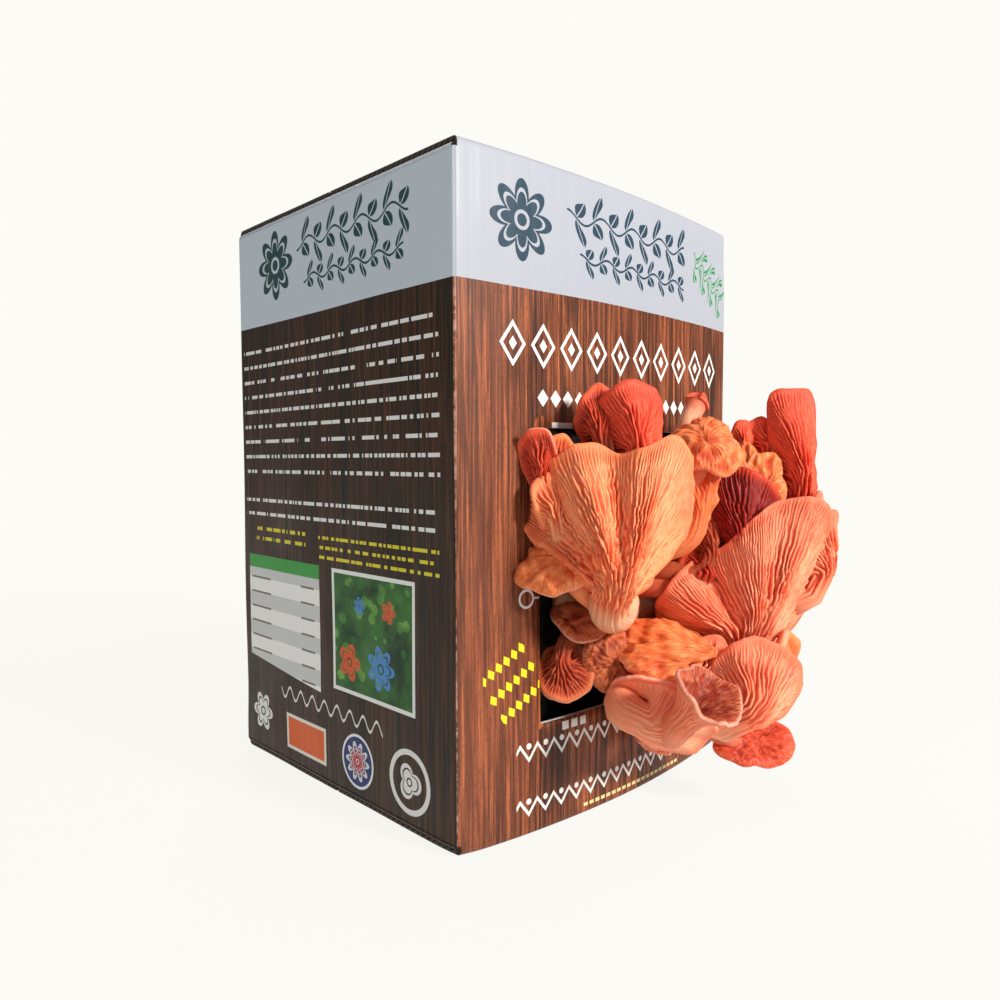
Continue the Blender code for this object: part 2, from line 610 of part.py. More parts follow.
def make_bag(parts, cutters):
    """Film all round the block, its folded top lying in a flat roll, open only where the clump comes out."""
    outer = mesh_from(block_mesh(*block_corners(GAP + FILM), BLOCK_CORNER + GAP + FILM, 1), "grow_bag")
    bag = put_in(parts, "grow_bag", outer, FILM_BLACK, 0.3)
    inner = mesh_from(block_mesh(*block_corners(GAP), BLOCK_CORNER + GAP, 1), "bag_inside")
    long, high, wide = BAG_FOLD
    foot = BLOCK_TOP + GAP + FILM / 2
    low, top = (-long / 2, -wide / 2, foot), (long / 2, wide / 2, foot + high)
    fold = cutter(cutters, "bag_fold", mesh_from(block_mesh(low, top, BAG_FOLD_CORNER, 1), "bag_fold"))
    join(bag, fold)
    cut(bag, cutter(cutters, "bag_inside", inner))
    return bag


def make_clump(parts):
    """The lumpy mass that the stems share, pressed flat where it grew from the block."""
    work = bmesh.new()
    bmesh.ops.create_icosphere(work, subdivisions=2, radius=1)
    over, up, lump, lean = CLUMP_WAVES
    for vert in work.verts:
        x, y, z = vert.co
        wave = math.sin(over * x + CLUMP_PHASE) * math.sin(up * z) + math.sin(lump * z + lean * y)
        vert.co = [c + r * (1 + CLUMP_LUMPS * wave) * v for c, r, v in zip(CLUMP_CENTRE, CLUMP_RADII, (x, y, z))]
    return put_in(parts, "stem_clump", mesh_from(work, "stem_clump"), STEM_CREAM, 0.7)


def as_bmesh(obj):
    graph = bpy.context.evaluated_depsgraph_get()
    work = bmesh.new()
    work.from_object(obj, graph)
    bmesh.ops.triangulate(work, faces=work.faces)
    return work


def grown(work, name, collection):
    """A cutter of this shape, which is in millimetres, with every face moved out by the gap."""
    larger = work.copy()
    bmesh.ops.recalc_face_normals(larger, faces=larger.faces)
    if larger.calc_volume(signed=True) < 0:
        bmesh.ops.reverse_faces(larger, faces=larger.faces)
    larger.normal_update()
    moves = [vert.normal * min(vert.calc_shell_factor(), 2) * (GAP + CUT_MARGIN) for vert in larger.verts]
    for vert, move in zip(larger.verts, moves):
        vert.co += move
    return cutter(collection, name, mesh_from(larger, name))


def grown_copy(obj, collection):
    """The same for a finished object."""
    work = as_bmesh(obj)
    bmesh.ops.scale(work, vec=(1 / MM, 1 / MM, 1 / MM), verts=work.verts)
    space = grown(work, obj.name + "_space", collection)
    work.free()
    return space


def meets(one, other):
    first, second = as_bmesh(one), as_bmesh(other)
    pairs = BVHTree.FromBMesh(first).overlap(BVHTree.FromBMesh(second))
    first.free()
    second.free()
    return bool(pairs)


def largest_body(work):
    """Deletes all but the largest of the separate bodies in a bmesh."""
    left = set(work.verts)
    bodies = []
    while left:
        stack = [left.pop()]
        body = set(stack)
        while stack:
            for edge in stack.pop().link_edges:
                for vert in edge.verts:
                    if vert in left:
                        left.remove(vert)
                        body.add(vert)
                        stack.append(vert)
        bodies.append(body)

    def volume(body):
        faces = {face for vert in body for face in vert.link_faces}
        return abs(sum(
            face.verts[0].co.dot(face.verts[1].co.cross(face.verts[2].co)) for face in faces
        ))

    bodies.sort(key=volume)
    small = [vert for body in bodies[:-1] for vert in body]
    bmesh.ops.delete(work, geom=small, context="VERTS")


def settle(obj):
    """Makes the result of the object's modifiers its own mesh, keeping the largest body."""
    bpy.context.view_layer.update()
    work = as_bmesh(obj)
    largest_body(work)
    bmesh.ops.remove_doubles(work, verts=work.verts, dist=1e-6)
    bmesh.ops.dissolve_degenerate(work, edges=work.edges, dist=1e-6)
    bmesh.ops.triangulate(work, faces=work.faces)
    obj.modifiers.clear()
    work.to_mesh(obj.data)
    work.free()
    bpy.context.view_layer.update()


def give_way(obj, spaces):
    """Cuts the object back wherever it would touch what already stands there."""
    for space in spaces:
        if meets(obj, space):
            cut(obj, space)
            settle(obj)


def simplify(obj, most):
    """Merges the slivers that the cuts leave, until the object has at most this many faces."""
    if len(obj.data.polygons) > most:
        decimate = obj.modifiers.new("simplify", "DECIMATE")
        decimate.ratio = most / len(obj.data.polygons)
        settle(obj)


def build():
    for obj in list(bpy.data.objects):
        bpy.data.objects.remove(obj)
    bpy.context.scene.unit_settings.system = "METRIC"
    parts = bpy.data.collections.new("mushroom_grow_kit")
    cutters = bpy.data.collections.new("cutters")
    cutters.hide_render = True
    for collection in (parts, cutters):
        bpy.context.scene.collection.children.link(collection)
    box = make_carton(parts, cutters)
    block = make_block(parts)
    clump = make_clump(parts)
    bag = make_bag(parts, cutters)
    bpy.context.view_layer.update()
    give_way(clump, [grown_copy(block, cutters)])
    clump_space = grown_copy(clump, cutters)
    give_way(bag, [clump_space])
    taken = [clump_space, grown_copy(box, cutters)]
    grow_mushrooms(parts, cutters, taken)


if __name__ == "__main__":
    build()
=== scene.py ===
import math

import bmesh
import bpy
import numpy as np
from bpy.props import FloatProperty, FloatVectorProperty, PointerProperty
from mathutils import Matrix, Vector


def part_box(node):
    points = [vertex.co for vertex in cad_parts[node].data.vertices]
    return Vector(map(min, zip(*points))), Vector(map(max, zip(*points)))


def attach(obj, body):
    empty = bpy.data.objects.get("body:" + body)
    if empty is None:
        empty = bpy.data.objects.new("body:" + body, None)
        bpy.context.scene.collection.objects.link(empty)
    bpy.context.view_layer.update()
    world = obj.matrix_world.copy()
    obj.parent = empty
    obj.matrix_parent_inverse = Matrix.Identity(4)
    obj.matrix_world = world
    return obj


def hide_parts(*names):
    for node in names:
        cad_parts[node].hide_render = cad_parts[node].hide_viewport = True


bl_info = {
    "name": "Mushroom grow kit",
    "version": (1, 0, 0),
    "blender": (4, 5, 0),
    "location": "View3D > Sidebar > Grow kit",
    "description": "Dresses a grow kit: printed carton, bag, block and the oyster mushrooms grown from it",
    "category": "Object",
}

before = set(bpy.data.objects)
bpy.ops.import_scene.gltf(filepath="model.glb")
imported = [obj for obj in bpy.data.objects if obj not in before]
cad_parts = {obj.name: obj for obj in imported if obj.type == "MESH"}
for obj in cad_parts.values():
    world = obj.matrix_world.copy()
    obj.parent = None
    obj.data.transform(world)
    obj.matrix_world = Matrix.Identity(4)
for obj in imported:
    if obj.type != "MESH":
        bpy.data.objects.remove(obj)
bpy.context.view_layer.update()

# Shapes are worked out in millimetres and made in metres
MM = 0.001

# Carton
BOX_WIDTH = 160.0
BOX_DEPTH = 145.0
BOX_HEIGHT = 229.0
BOARD = 1.8
FOLD_RADIUS = 1.3
BESIDE_FOLD = 0.6
INNER_FLAP = 60.0
BULGE_TOP = 5.0
BULGE_BOTTOM = 8.4
FLAP_SEAM = 1.2
WINDOW_HALF_WIDTH = 46.5
WINDOW_BOTTOM = 38.0
WINDOW_TOP = 139.5
BAND_FOOT = 185.5

# Grow bag round its block, and the clump where the stems join
BAG_LOW = (-74.1, -67.1, 3.9)
BAG_HIGH = (74.1, 67.1, 187.1)
BAG_CORNER = 8.0
BAG_FOLD = (112.0, 5.0, 26.0)
CLUMP_CENTRE = (4.0, -74.0, 80.0)
CLUMP_RADII = (38.0, 9.5, 38.0)
CLUMP_BACK = -66.6

# Shares of a stem's length and of a cap's reach at which their curves are still straight
STEM_STRAIGHT = 0.45
CAP_STRAIGHT = 0.42
RIM_STRAIGHT = 0.38
RIM_SWELLING = 0.6
CROWN_ONWARD = 0.85
CROWN_BACK = 0.9
FULL_BELLY = 30.0
FULL_FLESH = 20.0
FULL_RUFFLE = 25.0

# Share of the top side, from the rim, that runs beside the gill side before it closes over the crown,
# rows of points along a stem, turns of the points round the edge of a rim, and degrees by which the rim's
# lobes are rounded
TOP_SHARE = 0.42
STEM_ROWS = 8
RIM_ROUND = (45, 90, 135)
ROUNDED_LOBE = 2.2

# How the photo was taken
CAMERA_PLACE = (-0.2416, -0.2597, 0.1286)
CAMERA_TURN = 44.05
CAMERA_LIFT = -2.93
CAMERA_ROLL = -0.14
CAMERA_LENS = 28.33


def mushroom(name, root, neck, stem, faces, leans, rise, rim, **more):
    """One fruit body.

    root and neck: the ends of the stem. stem: its radius at each.
    faces: where the gills look, as degrees to the right of straight ahead and degrees up.
    leans: how far the spread of the cap turns clockwise from upright, seen from the gill side.
    rise: the stem's direction at the neck. out: its direction at the root.
    rim: (degrees clockwise from the spread, reach from the neck, lift towards the gill side).
    thick: flesh at the crown and at the rim. belly: how far the gill side swells out.
    curl: degrees that the rim turns towards the gill side. ruffle: number and height of waves in the rim.
    """
    plain = dict(out=(0, -1, 0.2), thick=(5, 1.8), belly=2, curl=0, ruffle=(0, 0))
    given = dict(name=name, root=root, neck=neck, stem=stem, faces=faces, leans=leans, rise=rise, rim=rim)
    return plain | given | more


# The largest and nearest come first.
MUSHROOMS = [
    mushroom(
        "left_fan", (-10, -80, 78), (-36, -100, 83), (8, 7), (-47, -4), 0, (-0.35, -0.5, 0.8),
        [(-118, 7, -6), (-85, 9, -6), (-70, 14, -7), (-62, 22, -7), (-57, 31, -8), (-52, 38, -8),
         (-40, 46, -7),
         (-33, 43, -9), (-25, 49, -6), (-14, 52, -5), (-3, 50, -7), (3, 46, 1), (11, 50, 0),
         (22, 58, -5), (29, 54, -8), (38, 46, -11), (48, 38, -13), (62, 25, -13), (75, 15, -11),
         (110, 8, -10), (180, 4, -12)],
        out=(-0.6, -1, 0), thick=(9, 1.8), belly=9, curl=-12,
    ),
    mushroom(
        "right_fan", (18, -82, 62), (24, -113, 56), (8, 7), (-50, -8), 0, (0.1, -0.35, 1),
        [(-110, 9, -8), (-90, 17, -7), (-78, 27, -6), (-67, 33, -5), (-58, 36, -3), (-48, 37, -1),
         (-38, 38, -1), (-30, 38, -2), (-20, 38, -4), (-10, 40, -5), (-2, 45, -5), (6, 53, -3),
         (14, 59, -4), (22, 63, -6), (30, 64, -9), (37, 56, -12), (45, 46, -13), (55, 37, -13),
         (66, 28, -12), (78, 20, -10), (100, 12, -9), (180, 6, -10)],
        out=(0.2, -1, -0.2), thick=(9, 1.8), belly=10, curl=-8,
    ),
    mushroom(
        "front_cup", (6, -82, 50), (-24, -119, 42), (6, 5), (178, -50), 180, (-0.1, -0.6, 0.8),
        [(0, 11, -15), (45, 13, -14), (90, 17, -14), (120, 18, -11), (150, 13, -14), (180, 11, -16),
         (-135, 12, -16), (-90, 13, -18), (-60, 12, -15), (-30, 13, -17)],
        thick=(3.2, 1.8), belly=0, curl=-45,
    ),
    mushroom(
        "lower_fan", (20, -82, 54), (5, -124, 40), (7, 7), (-45, -12), 42, (0.5, -0.6, 0.6),
        [(-95, 9, -5), (-65, 20, -5), (-45, 25, -4), (-20, 27, -5), (5, 27, -6), (30, 25, -7),
         (55, 19, -6), (80, 14, -5), (125, 9, -7), (180, 7, -9)],
        thick=(8, 2), belly=7, curl=-12,
    ),
    mushroom(
        "front_fibrous", (-2, -82, 60), (-6, -104, 60), (5, 5), (150, -50), 70, (-0.1, -1, 0.2),
        [(-90, 12, 1), (-45, 16, 2), (-10, 20, 2), (20, 19, 1), (55, 17, 2), (90, 13, 1),
         (135, 10, 0), (180, 9, -1), (-135, 10, 0)],
        thick=(9, 2.2), belly=0, curl=25, ruffle=(6, 1.2),
    ),
    mushroom(
        "top_round", (4, -82, 104), (-25, -103, 129), (6, 5), (-40, -3), 0, (-0.2, -0.1, 1),
        [(-80, 9, -8), (-60, 13, -6), (-46, 18, -6), (-33, 23, -4), (-20, 25, -2), (-8, 26, -2),
         (3, 25, -3), (14, 24, -4), (26, 20, -6), (38, 16, -8), (50, 12, -8), (80, 7, -8),
         (180, 4, -9)],
        thick=(6, 1.8), belly=5, curl=-5,
    ),
    mushroom(
        "right_tall", (34, -82, 102), (53, -122, 113), (7, 6.5), (-50, -2), 0, (0.1, -0.1, 1),
        [(-95, 7, -6), (-60, 10, -6), (-40, 17, -5), (-28, 24, -4), (-22, 33, -3), (-18, 42, -3),
         (-13, 43, -3), (0, 42, -4), (7, 43, -6), (11, 38, -8), (17, 26, -9), (30, 15, -9),
         (55, 10, -8), (90, 7, -8),
         (180, 5, -9)],
        thick=(7, 1.8), belly=5, curl=-8,
    ),
    mushroom(
        "right_split", (38, -82, 84), (50, -132, 83), (4.5, 4), (-10, 0), 4, (0.4, -0.1, 1),
        [(-80, 8, -3), (-45, 14, -2), (-22, 26, -1), (-6, 34, 0), (5, 25, -2), (20, 28, -1),
         (38, 18, -3), (70, 8, -4), (180, 5, -6)],
        belly=3,
    ),
    mushroom(
        "upper_lumpy", (26, -82, 96), (34, -111, 112), (5, 5), (132, -14), -4, (0.1, -0.6, 0.8),
        [(-95, 8, 0), (-55, 12, 1), (-24, 20, 3), (-9, 16, 1), (7, 22, 3), (24, 20, 2), (48, 13, 1),
         (90, 9, 0), (135, 7, -1), (180, 7, -2), (-135, 7, -1)],
        thick=(7, 4), belly=0, curl=35, ruffle=(7, 1.2),
    ),
    mushroom(
        "middle_deep", (16, -82, 88), (24, -113, 91), (5, 5), (-50, -6), 2, (0.1, 0, 1),
        [(-80, 8, -6), (-45, 14, -5), (-25, 29, -5), (-12, 36, -4), (0, 34, -4), (12, 32, -4),
         (28, 28, -5), (45, 21, -6), (60, 14, -7), (100, 8, -8), (180, 5, -9)],
        thick=(6, 1.8), belly=4, curl=-5,
    ),
    mushroom(
        "lower_smooth", (-8, -82, 50), (-28, -106, 42), (8, 6), (-50, -35), 112, (0.6, -0.8, -0.3),
        [(-100, 11, -7), (-60, 14, -6), (-25, 20, -4), (0, 28, -2), (22, 28, -1), (50, 20, -2),
         (85, 12, -5), (180, 9, -10)],
        out=(-0.1, -1, -0.3), thick=(9, 2), belly=5, curl=10,
    ),
    mushroom(
        "top_hooded", (12, -82, 106), (13, -104, 133), (4, 4), (136, -44), -8, (0, -0.1, 1),
        [(-95, 13, 2), (-60, 12, 2), (-25, 14, 1), (0, 14, 2), (25, 13, 1), (55, 11, 1),
         (90, 12, 1), (130, 11, 3), (180, 9, 1), (-135, 12, 4)],
        thick=(6.5, 1.8), belly=0, curl=55,
    ),
    mushroom(
        "left_rolled", (-14, -80, 72), (-44, -89, 92), (5, 4), (130, -50), 66, (-0.5, -0.2, 0.8),
        [(-90, 7, 2), (-50, 11, 3), (-20, 16, 4), (8, 18, 4), (35, 15, 3), (65, 11, 2),
         (110, 7, 0), (180, 6, -2), (-130, 6, 0)],
        thick=(6, 3.4), belly=0, curl=50,
    ),
    mushroom(
        "left_behind", (-16, -80, 84), (-50, -88, 109), (4, 3.5), (-40, 0), -10, (-0.3, -0.2, 1),
        [(-50, 8, 0), (-20, 14, -1), (5, 15, -1), (30, 10, -1), (70, 6, -3), (180, 4, -6),
         (-90, 5, -3)],
        thick=(4.5, 1.8),
    ),
    mushroom(
        "left_small", (-16, -80, 100), (-46, -87, 121), (3.6, 3.4), (-38, -2), 3, (-0.3, 0, 1),
        [(-80, 6, -3), (-45, 10, -2), (-22, 14, -1), (0, 15.5, -1), (20, 13, -2), (42, 9, -3),
         (80, 6, -4), (180, 4, -6)],
        thick=(4.5, 1.8),
    ),
    mushroom(
        "left_shaded", (-20, -78, 98), (-49, -83, 121), (3.6, 3.4), (-62, -15), -8, (-0.5, 0, 1),
        [(-75, 7, -1), (-45, 11, 0), (-25, 16, 0), (-5, 18, 1), (10, 17, 0), (30, 9, -1),
         (70, 5, -3), (180, 4, -6)],
        thick=(4.5, 1.8), curl=20,
    ),
    mushroom(
        "top_narrow", (-6, -82, 104), (-31, -92, 135), (4.5, 3.6), (-52, -5), -4, (-0.1, 0, 1),
        [(-90, 7, -4), (-45, 12, -2), (-20, 16, 0), (0, 19, -1), (15, 16, -3), (40, 9, -5),
         (80, 6, -6), (180, 4, -7)],
        belly=3,
    ),
    mushroom(
        "top_bud", (8, -82, 112), (25, -93, 149.5), (3.2, 4.2), (-96, -48), 12, (0.9, -0.1, 1),
        [(-90, 4.3, 0), (0, 4.3, 0), (90, 4.3, 0), (180, 4.3, 0)],
        thick=(7.5, 0.3), belly=0, curl=30,
    ),
    mushroom(
        "right_narrow", (30, -80, 108), (49, -110, 130), (4, 4), (-40, -5), -12, (0.1, 0, 1),
        [(-80, 7, -4), (-40, 10, -2), (-15, 14, -1), (5, 15, -1), (30, 11, -3), (70, 6, -4),
         (180, 4, -6)],
    ),
    mushroom(
        "upper_small", (22, -80, 110), (38, -106, 132), (3.6, 3.2), (-40, 0), 0, (0.1, 0, 1),
        [(-80, 5, -4), (-35, 7, -2), (-10, 11, -1), (10, 11, -1), (35, 7, -2), (80, 5, -4),
         (180, 4, -5)],
        thick=(4.5, 1.8), belly=1,
    ),
    mushroom(
        "middle_folded", (6, -82, 86), (18, -104, 92), (4, 4), (-34, 0), 0, (0.1, -0.1, 1),
        [(-80, 6, -5), (-35, 10, -4), (-12, 19, -2), (2, 22, -1), (16, 19, -3), (35, 11, -5),
         (80, 6, -6), (180, 4, -7)],
        thick=(4, 1.8), belly=3,
    ),
    mushroom(
        "middle_ruffled", (4, -82, 92), (10, -104, 107), (4, 3.6), (-30, -4), 10, (0.2, 0, 1),
        [(-80, 6, -4), (-40, 10, -3), (-15, 18, -2), (5, 23, 0), (18, 19, -2), (35, 12, -3),
         (70, 7, -4), (180, 4, -7)],
        thick=(5, 2.4), belly=1, curl=10, ruffle=(9, 1.2),
    ),
    mushroom(
        "middle_small", (4, -82, 80), (15, -104, 86), (4, 4), (-45, 25), -10, (0, -0.4, 0.8),
        [(-90, 7, -2), (-45, 10, -1), (-10, 12, 0), (25, 11, 0), (60, 9, -2), (110, 6, -3),
         (180, 5, -4)],
        thick=(6, 2.4), belly=3, curl=15,
    ),
    mushroom(
        "front_small", (8, -82, 56), (2, -112, 55), (4, 3.8), (-30, 0), 35, (0.3, -0.6, 0.5),
        [(-80, 6, -3), (-40, 9, -2), (0, 12, 0), (35, 11, -1), (70, 8, -3), (120, 5, -5),
         (180, 4, -6)],
    ),
    mushroom(
        "right_rolled", (28, -82, 60), (29, -130, 49), (4.5, 4.5), (10, 0), 15, (0.5, -0.4, 0.6),
        [(-90, 9, -1), (-45, 13, 0), (-10, 16, 1), (25, 13, 1), (60, 11, 0), (110, 7, -3),
         (180, 5, -6)],
        thick=(6, 3.2), curl=40, ruffle=(5, 1),
    ),
    mushroom(
        "bottom_fuzzy", (16, -82, 46), (21, -118, 24), (5, 4), (130, -38), -78, (0.9, -0.5, -0.1),
        [(-90, 7, 0), (-50, 11, 1), (-15, 16, 2), (10, 16, 2), (45, 11, 1), (90, 7, 1),
         (135, 8, 0), (180, 11, -1), (-135, 8, 0)],
        thick=(5, 2), belly=0, curl=30, ruffle=(5, 0.8),
    ),
    mushroom(
        "corner_curled", (-18, -74, 62), (-33, -80, 71), (4, 3.6), (140, -50), -60, (-0.7, -0.7, 0.4),
        [(-90, 8, 0), (-45, 11, 1), (0, 12, 1), (45, 10, 1), (90, 8, 0), (180, 5, -2)],
        out=(-0.7, -0.6, 0.3), thick=(4.5, 2), belly=0, curl=25,
    ),
    mushroom(
        "corner_hanging", (-20, -74, 60), (-37, -79, 60), (3.6, 3.4), (-42, 25), 172,
        (-0.3, -0.2, -1),
        [(100, 6, -3), (60, 11, -2), (30, 14, 0), (0, 15, 0), (-30, 14, 0), (-60, 12, -1),
         (-100, 6, -3), (180, 4, -5)],
        out=(-0.8, -0.4, 0.4), thick=(4.5, 1.8), belly=2, curl=10,
    ),
    mushroom(
        "corner_rough", (-18, -76, 60), (-22, -88, 60), (5, 4.2), (150, -10), 175,
        (-0.1, -0.7, -0.7),
        [(-90, 8, 0), (-45, 9, 1), (0, 12, 2), (45, 11, 1), (90, 8, 0), (180, 6, -1)],
        thick=(5, 3), belly=0, curl=40, ruffle=(5, 0.8),
    ),
    mushroom(
        "centre_upright", (2, -84, 98), (-2, -104, 108), (4.5, 4.2), (0, 8), -8, (-0.1, -0.2, 1),
        [(-85, 8, -4), (-50, 14, -3), (-20, 19, -2), (10, 20, -2), (38, 16, -3), (70, 10, -4),
         (120, 6, -5), (180, 5, -6)],
        thick=(5, 2), belly=3,
    ),
    mushroom(
        "side_broad", (38, -82, 76), (60, -106, 66), (6, 4.5), (48, -12), 10, (0.5, -0.2, 0.9),
        [(-95, 9, -5), (-60, 19, -4), (-38, 27, -4), (-15, 32, -4), (8, 31, -4), (30, 28, -5),
         (55, 20, -6), (85, 13, -6), (130, 7, -7), (180, 6, -8)],
        thick=(6, 2), belly=6, curl=-8,
    ),
    mushroom(
        "side_tall", (38, -80, 104), (62, -92, 112), (5, 4.8), (62, -8), -6, (0.5, 0, 0.9),
        [(-90, 9, -4), (-55, 16, -3), (-25, 24, -3), (0, 26, -3), (25, 22, -4), (50, 15, -4),
         (90, 9, -5), (180, 5, -7)],
        thick=(5.5, 1.8), belly=4, curl=-5,
    ),
    mushroom(
        "side_spreading", (30, -82, 54), (48, -104, 38), (5, 5), (30, -30), 60, (0.8, -0.3, 0.4),
        [(-95, 10, -3), (-55, 18, -2), (-20, 23, -1), (15, 22, -1), (50, 16, -2), (90, 11, -3),
         (135, 7, -5), (180, 6, -7)],
        thick=(6, 2), belly=4, curl=5,
    ),
    mushroom(
        "bottom_drooping", (10, -80, 48), (4, -92, 22), (4.5, 4.5), (20, -65), 5, (0, -0.9, 0.1),
        [(-95, 9, -2), (-50, 14, -1), (-15, 17, 0), (20, 17, 0), (55, 13, -1), (95, 9, -3),
         (180, 6, -5)],
        out=(0, -0.4, -1), thick=(5, 2), curl=10,
    ),
]


# Which flesh each body has, its finish where that is another, and what sets its surface apart.
# per_gill, rows: points across each gill and along it. top_rows: rows on the top side.
# rough, lump: height and size of the lumps on the top side. strands: height of its ridges.
# gills, loose: depth of the gaps and how much the gills wander. margin: how uneven the rim is.
# pale: how far the stem pales away from the cap's colour.
# crown: how far along the spread the top side's ridges start.
# folds: (degrees from the spread, height, width in degrees) of ridges and creases that run to the rim.
PLAIN = dict(
    slot=None, per_gill=4, rows=19, top_rows=8, rough=0.25, lump=4.0, strands=0.0, margin=0.5, folds=(),
    gills=1.0, loose=0.5, pale=0.3, crown=0.0)
LOOKS = {
    "left_fan": dict(
        flesh="peach", pale=0.8, loose=1.6, per_gill=5, rows=40, margin=0.7,
        folds=((3, -4.0, 5), (-16, 3.2, 15), (24, 2.6, 12), (-43, -3.2, 6), (-58, 3.6, 9), (42, -1.2, 6)),
    ),
    "right_fan": dict(
        flesh="salmon", per_gill=5, rows=40, margin=0.5,
        folds=((-50, 3.4, 14), (-24, -3.0, 7), (-4, 2.2, 10), (14, -1.6, 5), (28, 2.0, 9), (47, -1.4, 7)),
    ),
    "front_cup": dict(
        flesh="salmon_cup", slot="flesh_crimson", rows=18, top_rows=20, lump=3.0, margin=1.0, gills=0.3,
    ),
    "lower_fan": dict(flesh="salmon", rows=30, folds=((-30, -1.5, 9), (15, 1.2, 14)), margin=0.6),
    "front_fibrous": dict(
        flesh="orange", rows=10, top_rows=36, rough=1.0, lump=5.0, margin=1.3, strands=0.5, crown=-9.0,
    ),
    "top_round": dict(
        flesh="salmon_red", slot="flesh_peach", rows=30, folds=((-38, -2.0, 7), (-18, 1.0, 10)),
    ),
    "right_tall": dict(flesh="salmon_red", rows=34, folds=((-9, 1.0, 8), (9, -0.8, 5))),
    "right_split": dict(flesh="salmon", rows=20, margin=0.7),
    "upper_lumpy": dict(
        flesh="orange", rows=10, top_rows=36, rough=0.9, lump=3.4, margin=1.3, strands=0.6, crown=-11.0,
    ),
    "middle_deep": dict(flesh="crimson_dark", rows=30, folds=((-12, -1.4, 7), (4, 1.2, 7), (16, -1.2, 5))),
    "lower_smooth": dict(
        flesh="salmon", rows=26, gills=0.25, margin=0.6, folds=((-20, 1.6, 18), (10, -1.0, 10)),
    ),
    "top_hooded": dict(
        flesh="orange_red", slot="flesh_crimson", rows=14, top_rows=26, rough=0.7, lump=4.2, margin=0.9,
        strands=0.3, crown=-7.0,
    ),
    "left_rolled": dict(flesh="orange", rows=10, top_rows=24, rough=1.0, lump=3.6, margin=1.2, strands=0.2),
    "left_behind": dict(flesh="peach", per_gill=3),
    "left_small": dict(flesh="orange", slot="flesh_peach"),
    "left_shaded": dict(flesh="crimson"),
    "top_narrow": dict(flesh="crimson", slot="flesh_peach", pale=0.9, rows=26, folds=((0, -1.2, 14),)),
    "top_bud": dict(flesh="crimson", rows=8, top_rows=16, gills=0.0, rough=0.1, pale=0.9, margin=0.0),
    "right_narrow": dict(flesh="salmon_red"),
    "upper_small": dict(flesh="salmon_red", per_gill=3),
    "middle_folded": dict(
        flesh="orange_brown", slot="flesh_crimson", per_gill=3, folds=((0, -1.4, 9),), gills=0.5,
    ),
    "middle_ruffled": dict(
        flesh="orange", slot="flesh_crimson", rough=0.7, lump=3.0, margin=1.3, gills=0.35,
    ),
    "middle_small": dict(flesh="crimson", per_gill=3),
    "front_small": dict(flesh="salmon"),
    "right_rolled": dict(flesh="orange", rows=12, top_rows=20, rough=0.7, lump=3.0, margin=1.0),
    "bottom_fuzzy": dict(
        flesh="crimson", rows=12, top_rows=26, rough=0.35, lump=1.7, margin=0.9, strands=0.15,
    ),
    "corner_curled": dict(flesh="orange_brown", rows=12, top_rows=18, rough=0.4, lump=3.4, margin=0.9),
    "corner_hanging": dict(flesh="orange_brown", top_rows=12, rough=0.4, lump=3.0, pale=0.5),
    "corner_rough": dict(
        flesh="orange_brown", rows=12, top_rows=20, rough=0.8, lump=2.2, margin=0.8, strands=0.2,
    ),
    "centre_upright": dict(flesh="salmon", per_gill=3, folds=((-10, 1.0, 12),)),
    "side_broad": dict(flesh="salmon", per_gill=3, rows=26, folds=((-20, 1.4, 12), (12, -1.2, 8))),
    "side_tall": dict(flesh="salmon", per_gill=3, rows=22, folds=((5, -1.0, 8),)),
    "side_spreading": dict(flesh="salmon", per_gill=3, rows=22, folds=((10, 1.2, 12),)),
    "bottom_drooping": dict(flesh="salmon", per_gill=3),
}


def unit(vector):
    vector = np.asarray(vector, float)
    return vector / np.maximum(np.linalg.norm(vector, axis=-1, keepdims=True), 1e-12)


def ease(value, low, high):
    """0 below low, 1 above high, and smooth between."""
    share = np.clip((value - low) / (high - low), 0, 1)
    return share * share * (3 - 2 * share)


def waves(points, size, seed):
    """Smooth unevenness of the surface, about -2 to 2, with lumps of this size."""
    random = np.random.default_rng(seed)
    lengths = size * random.uniform(1.4, 3.2, (12, 1))
    turns = unit(random.normal(size=(12, 3))) * math.tau / lengths
    return np.sin(points @ turns.T + random.uniform(0, math.tau, 12)).sum(-1) / math.sqrt(12)


def bezier(ends, t):
    """Point and direction on a cubic curve with these four points, each of which may be a row of points."""
    a, b, c, d = ends
    point = (1 - t) ** 3 * a + 3 * t * (1 - t) ** 2 * b + 3 * t * t * (1 - t) * c + t ** 3 * d
    along = (1 - t) ** 2 * (b - a) + 2 * t * (1 - t) * (c - b) + t * t * (d - c)
    return point, unit(along)


def cap_directions(shape):
    """Three unit directions: where the gills look, where the cap spreads, and across, clockwise of that."""
    turn, lift = np.radians(shape["faces"])
    gill = np.array([math.sin(turn) * math.cos(lift), -math.cos(turn) * math.cos(lift), math.sin(lift)])
    right = unit(np.cross((0, 0, 1), gill))
    upright = np.cross(gill, right)
    lean = math.radians(shape["leans"])
    spread = upright * math.cos(lean) + right * math.sin(lean)
    across = right * math.cos(lean) - upright * math.sin(lean)
    return gill, spread, across


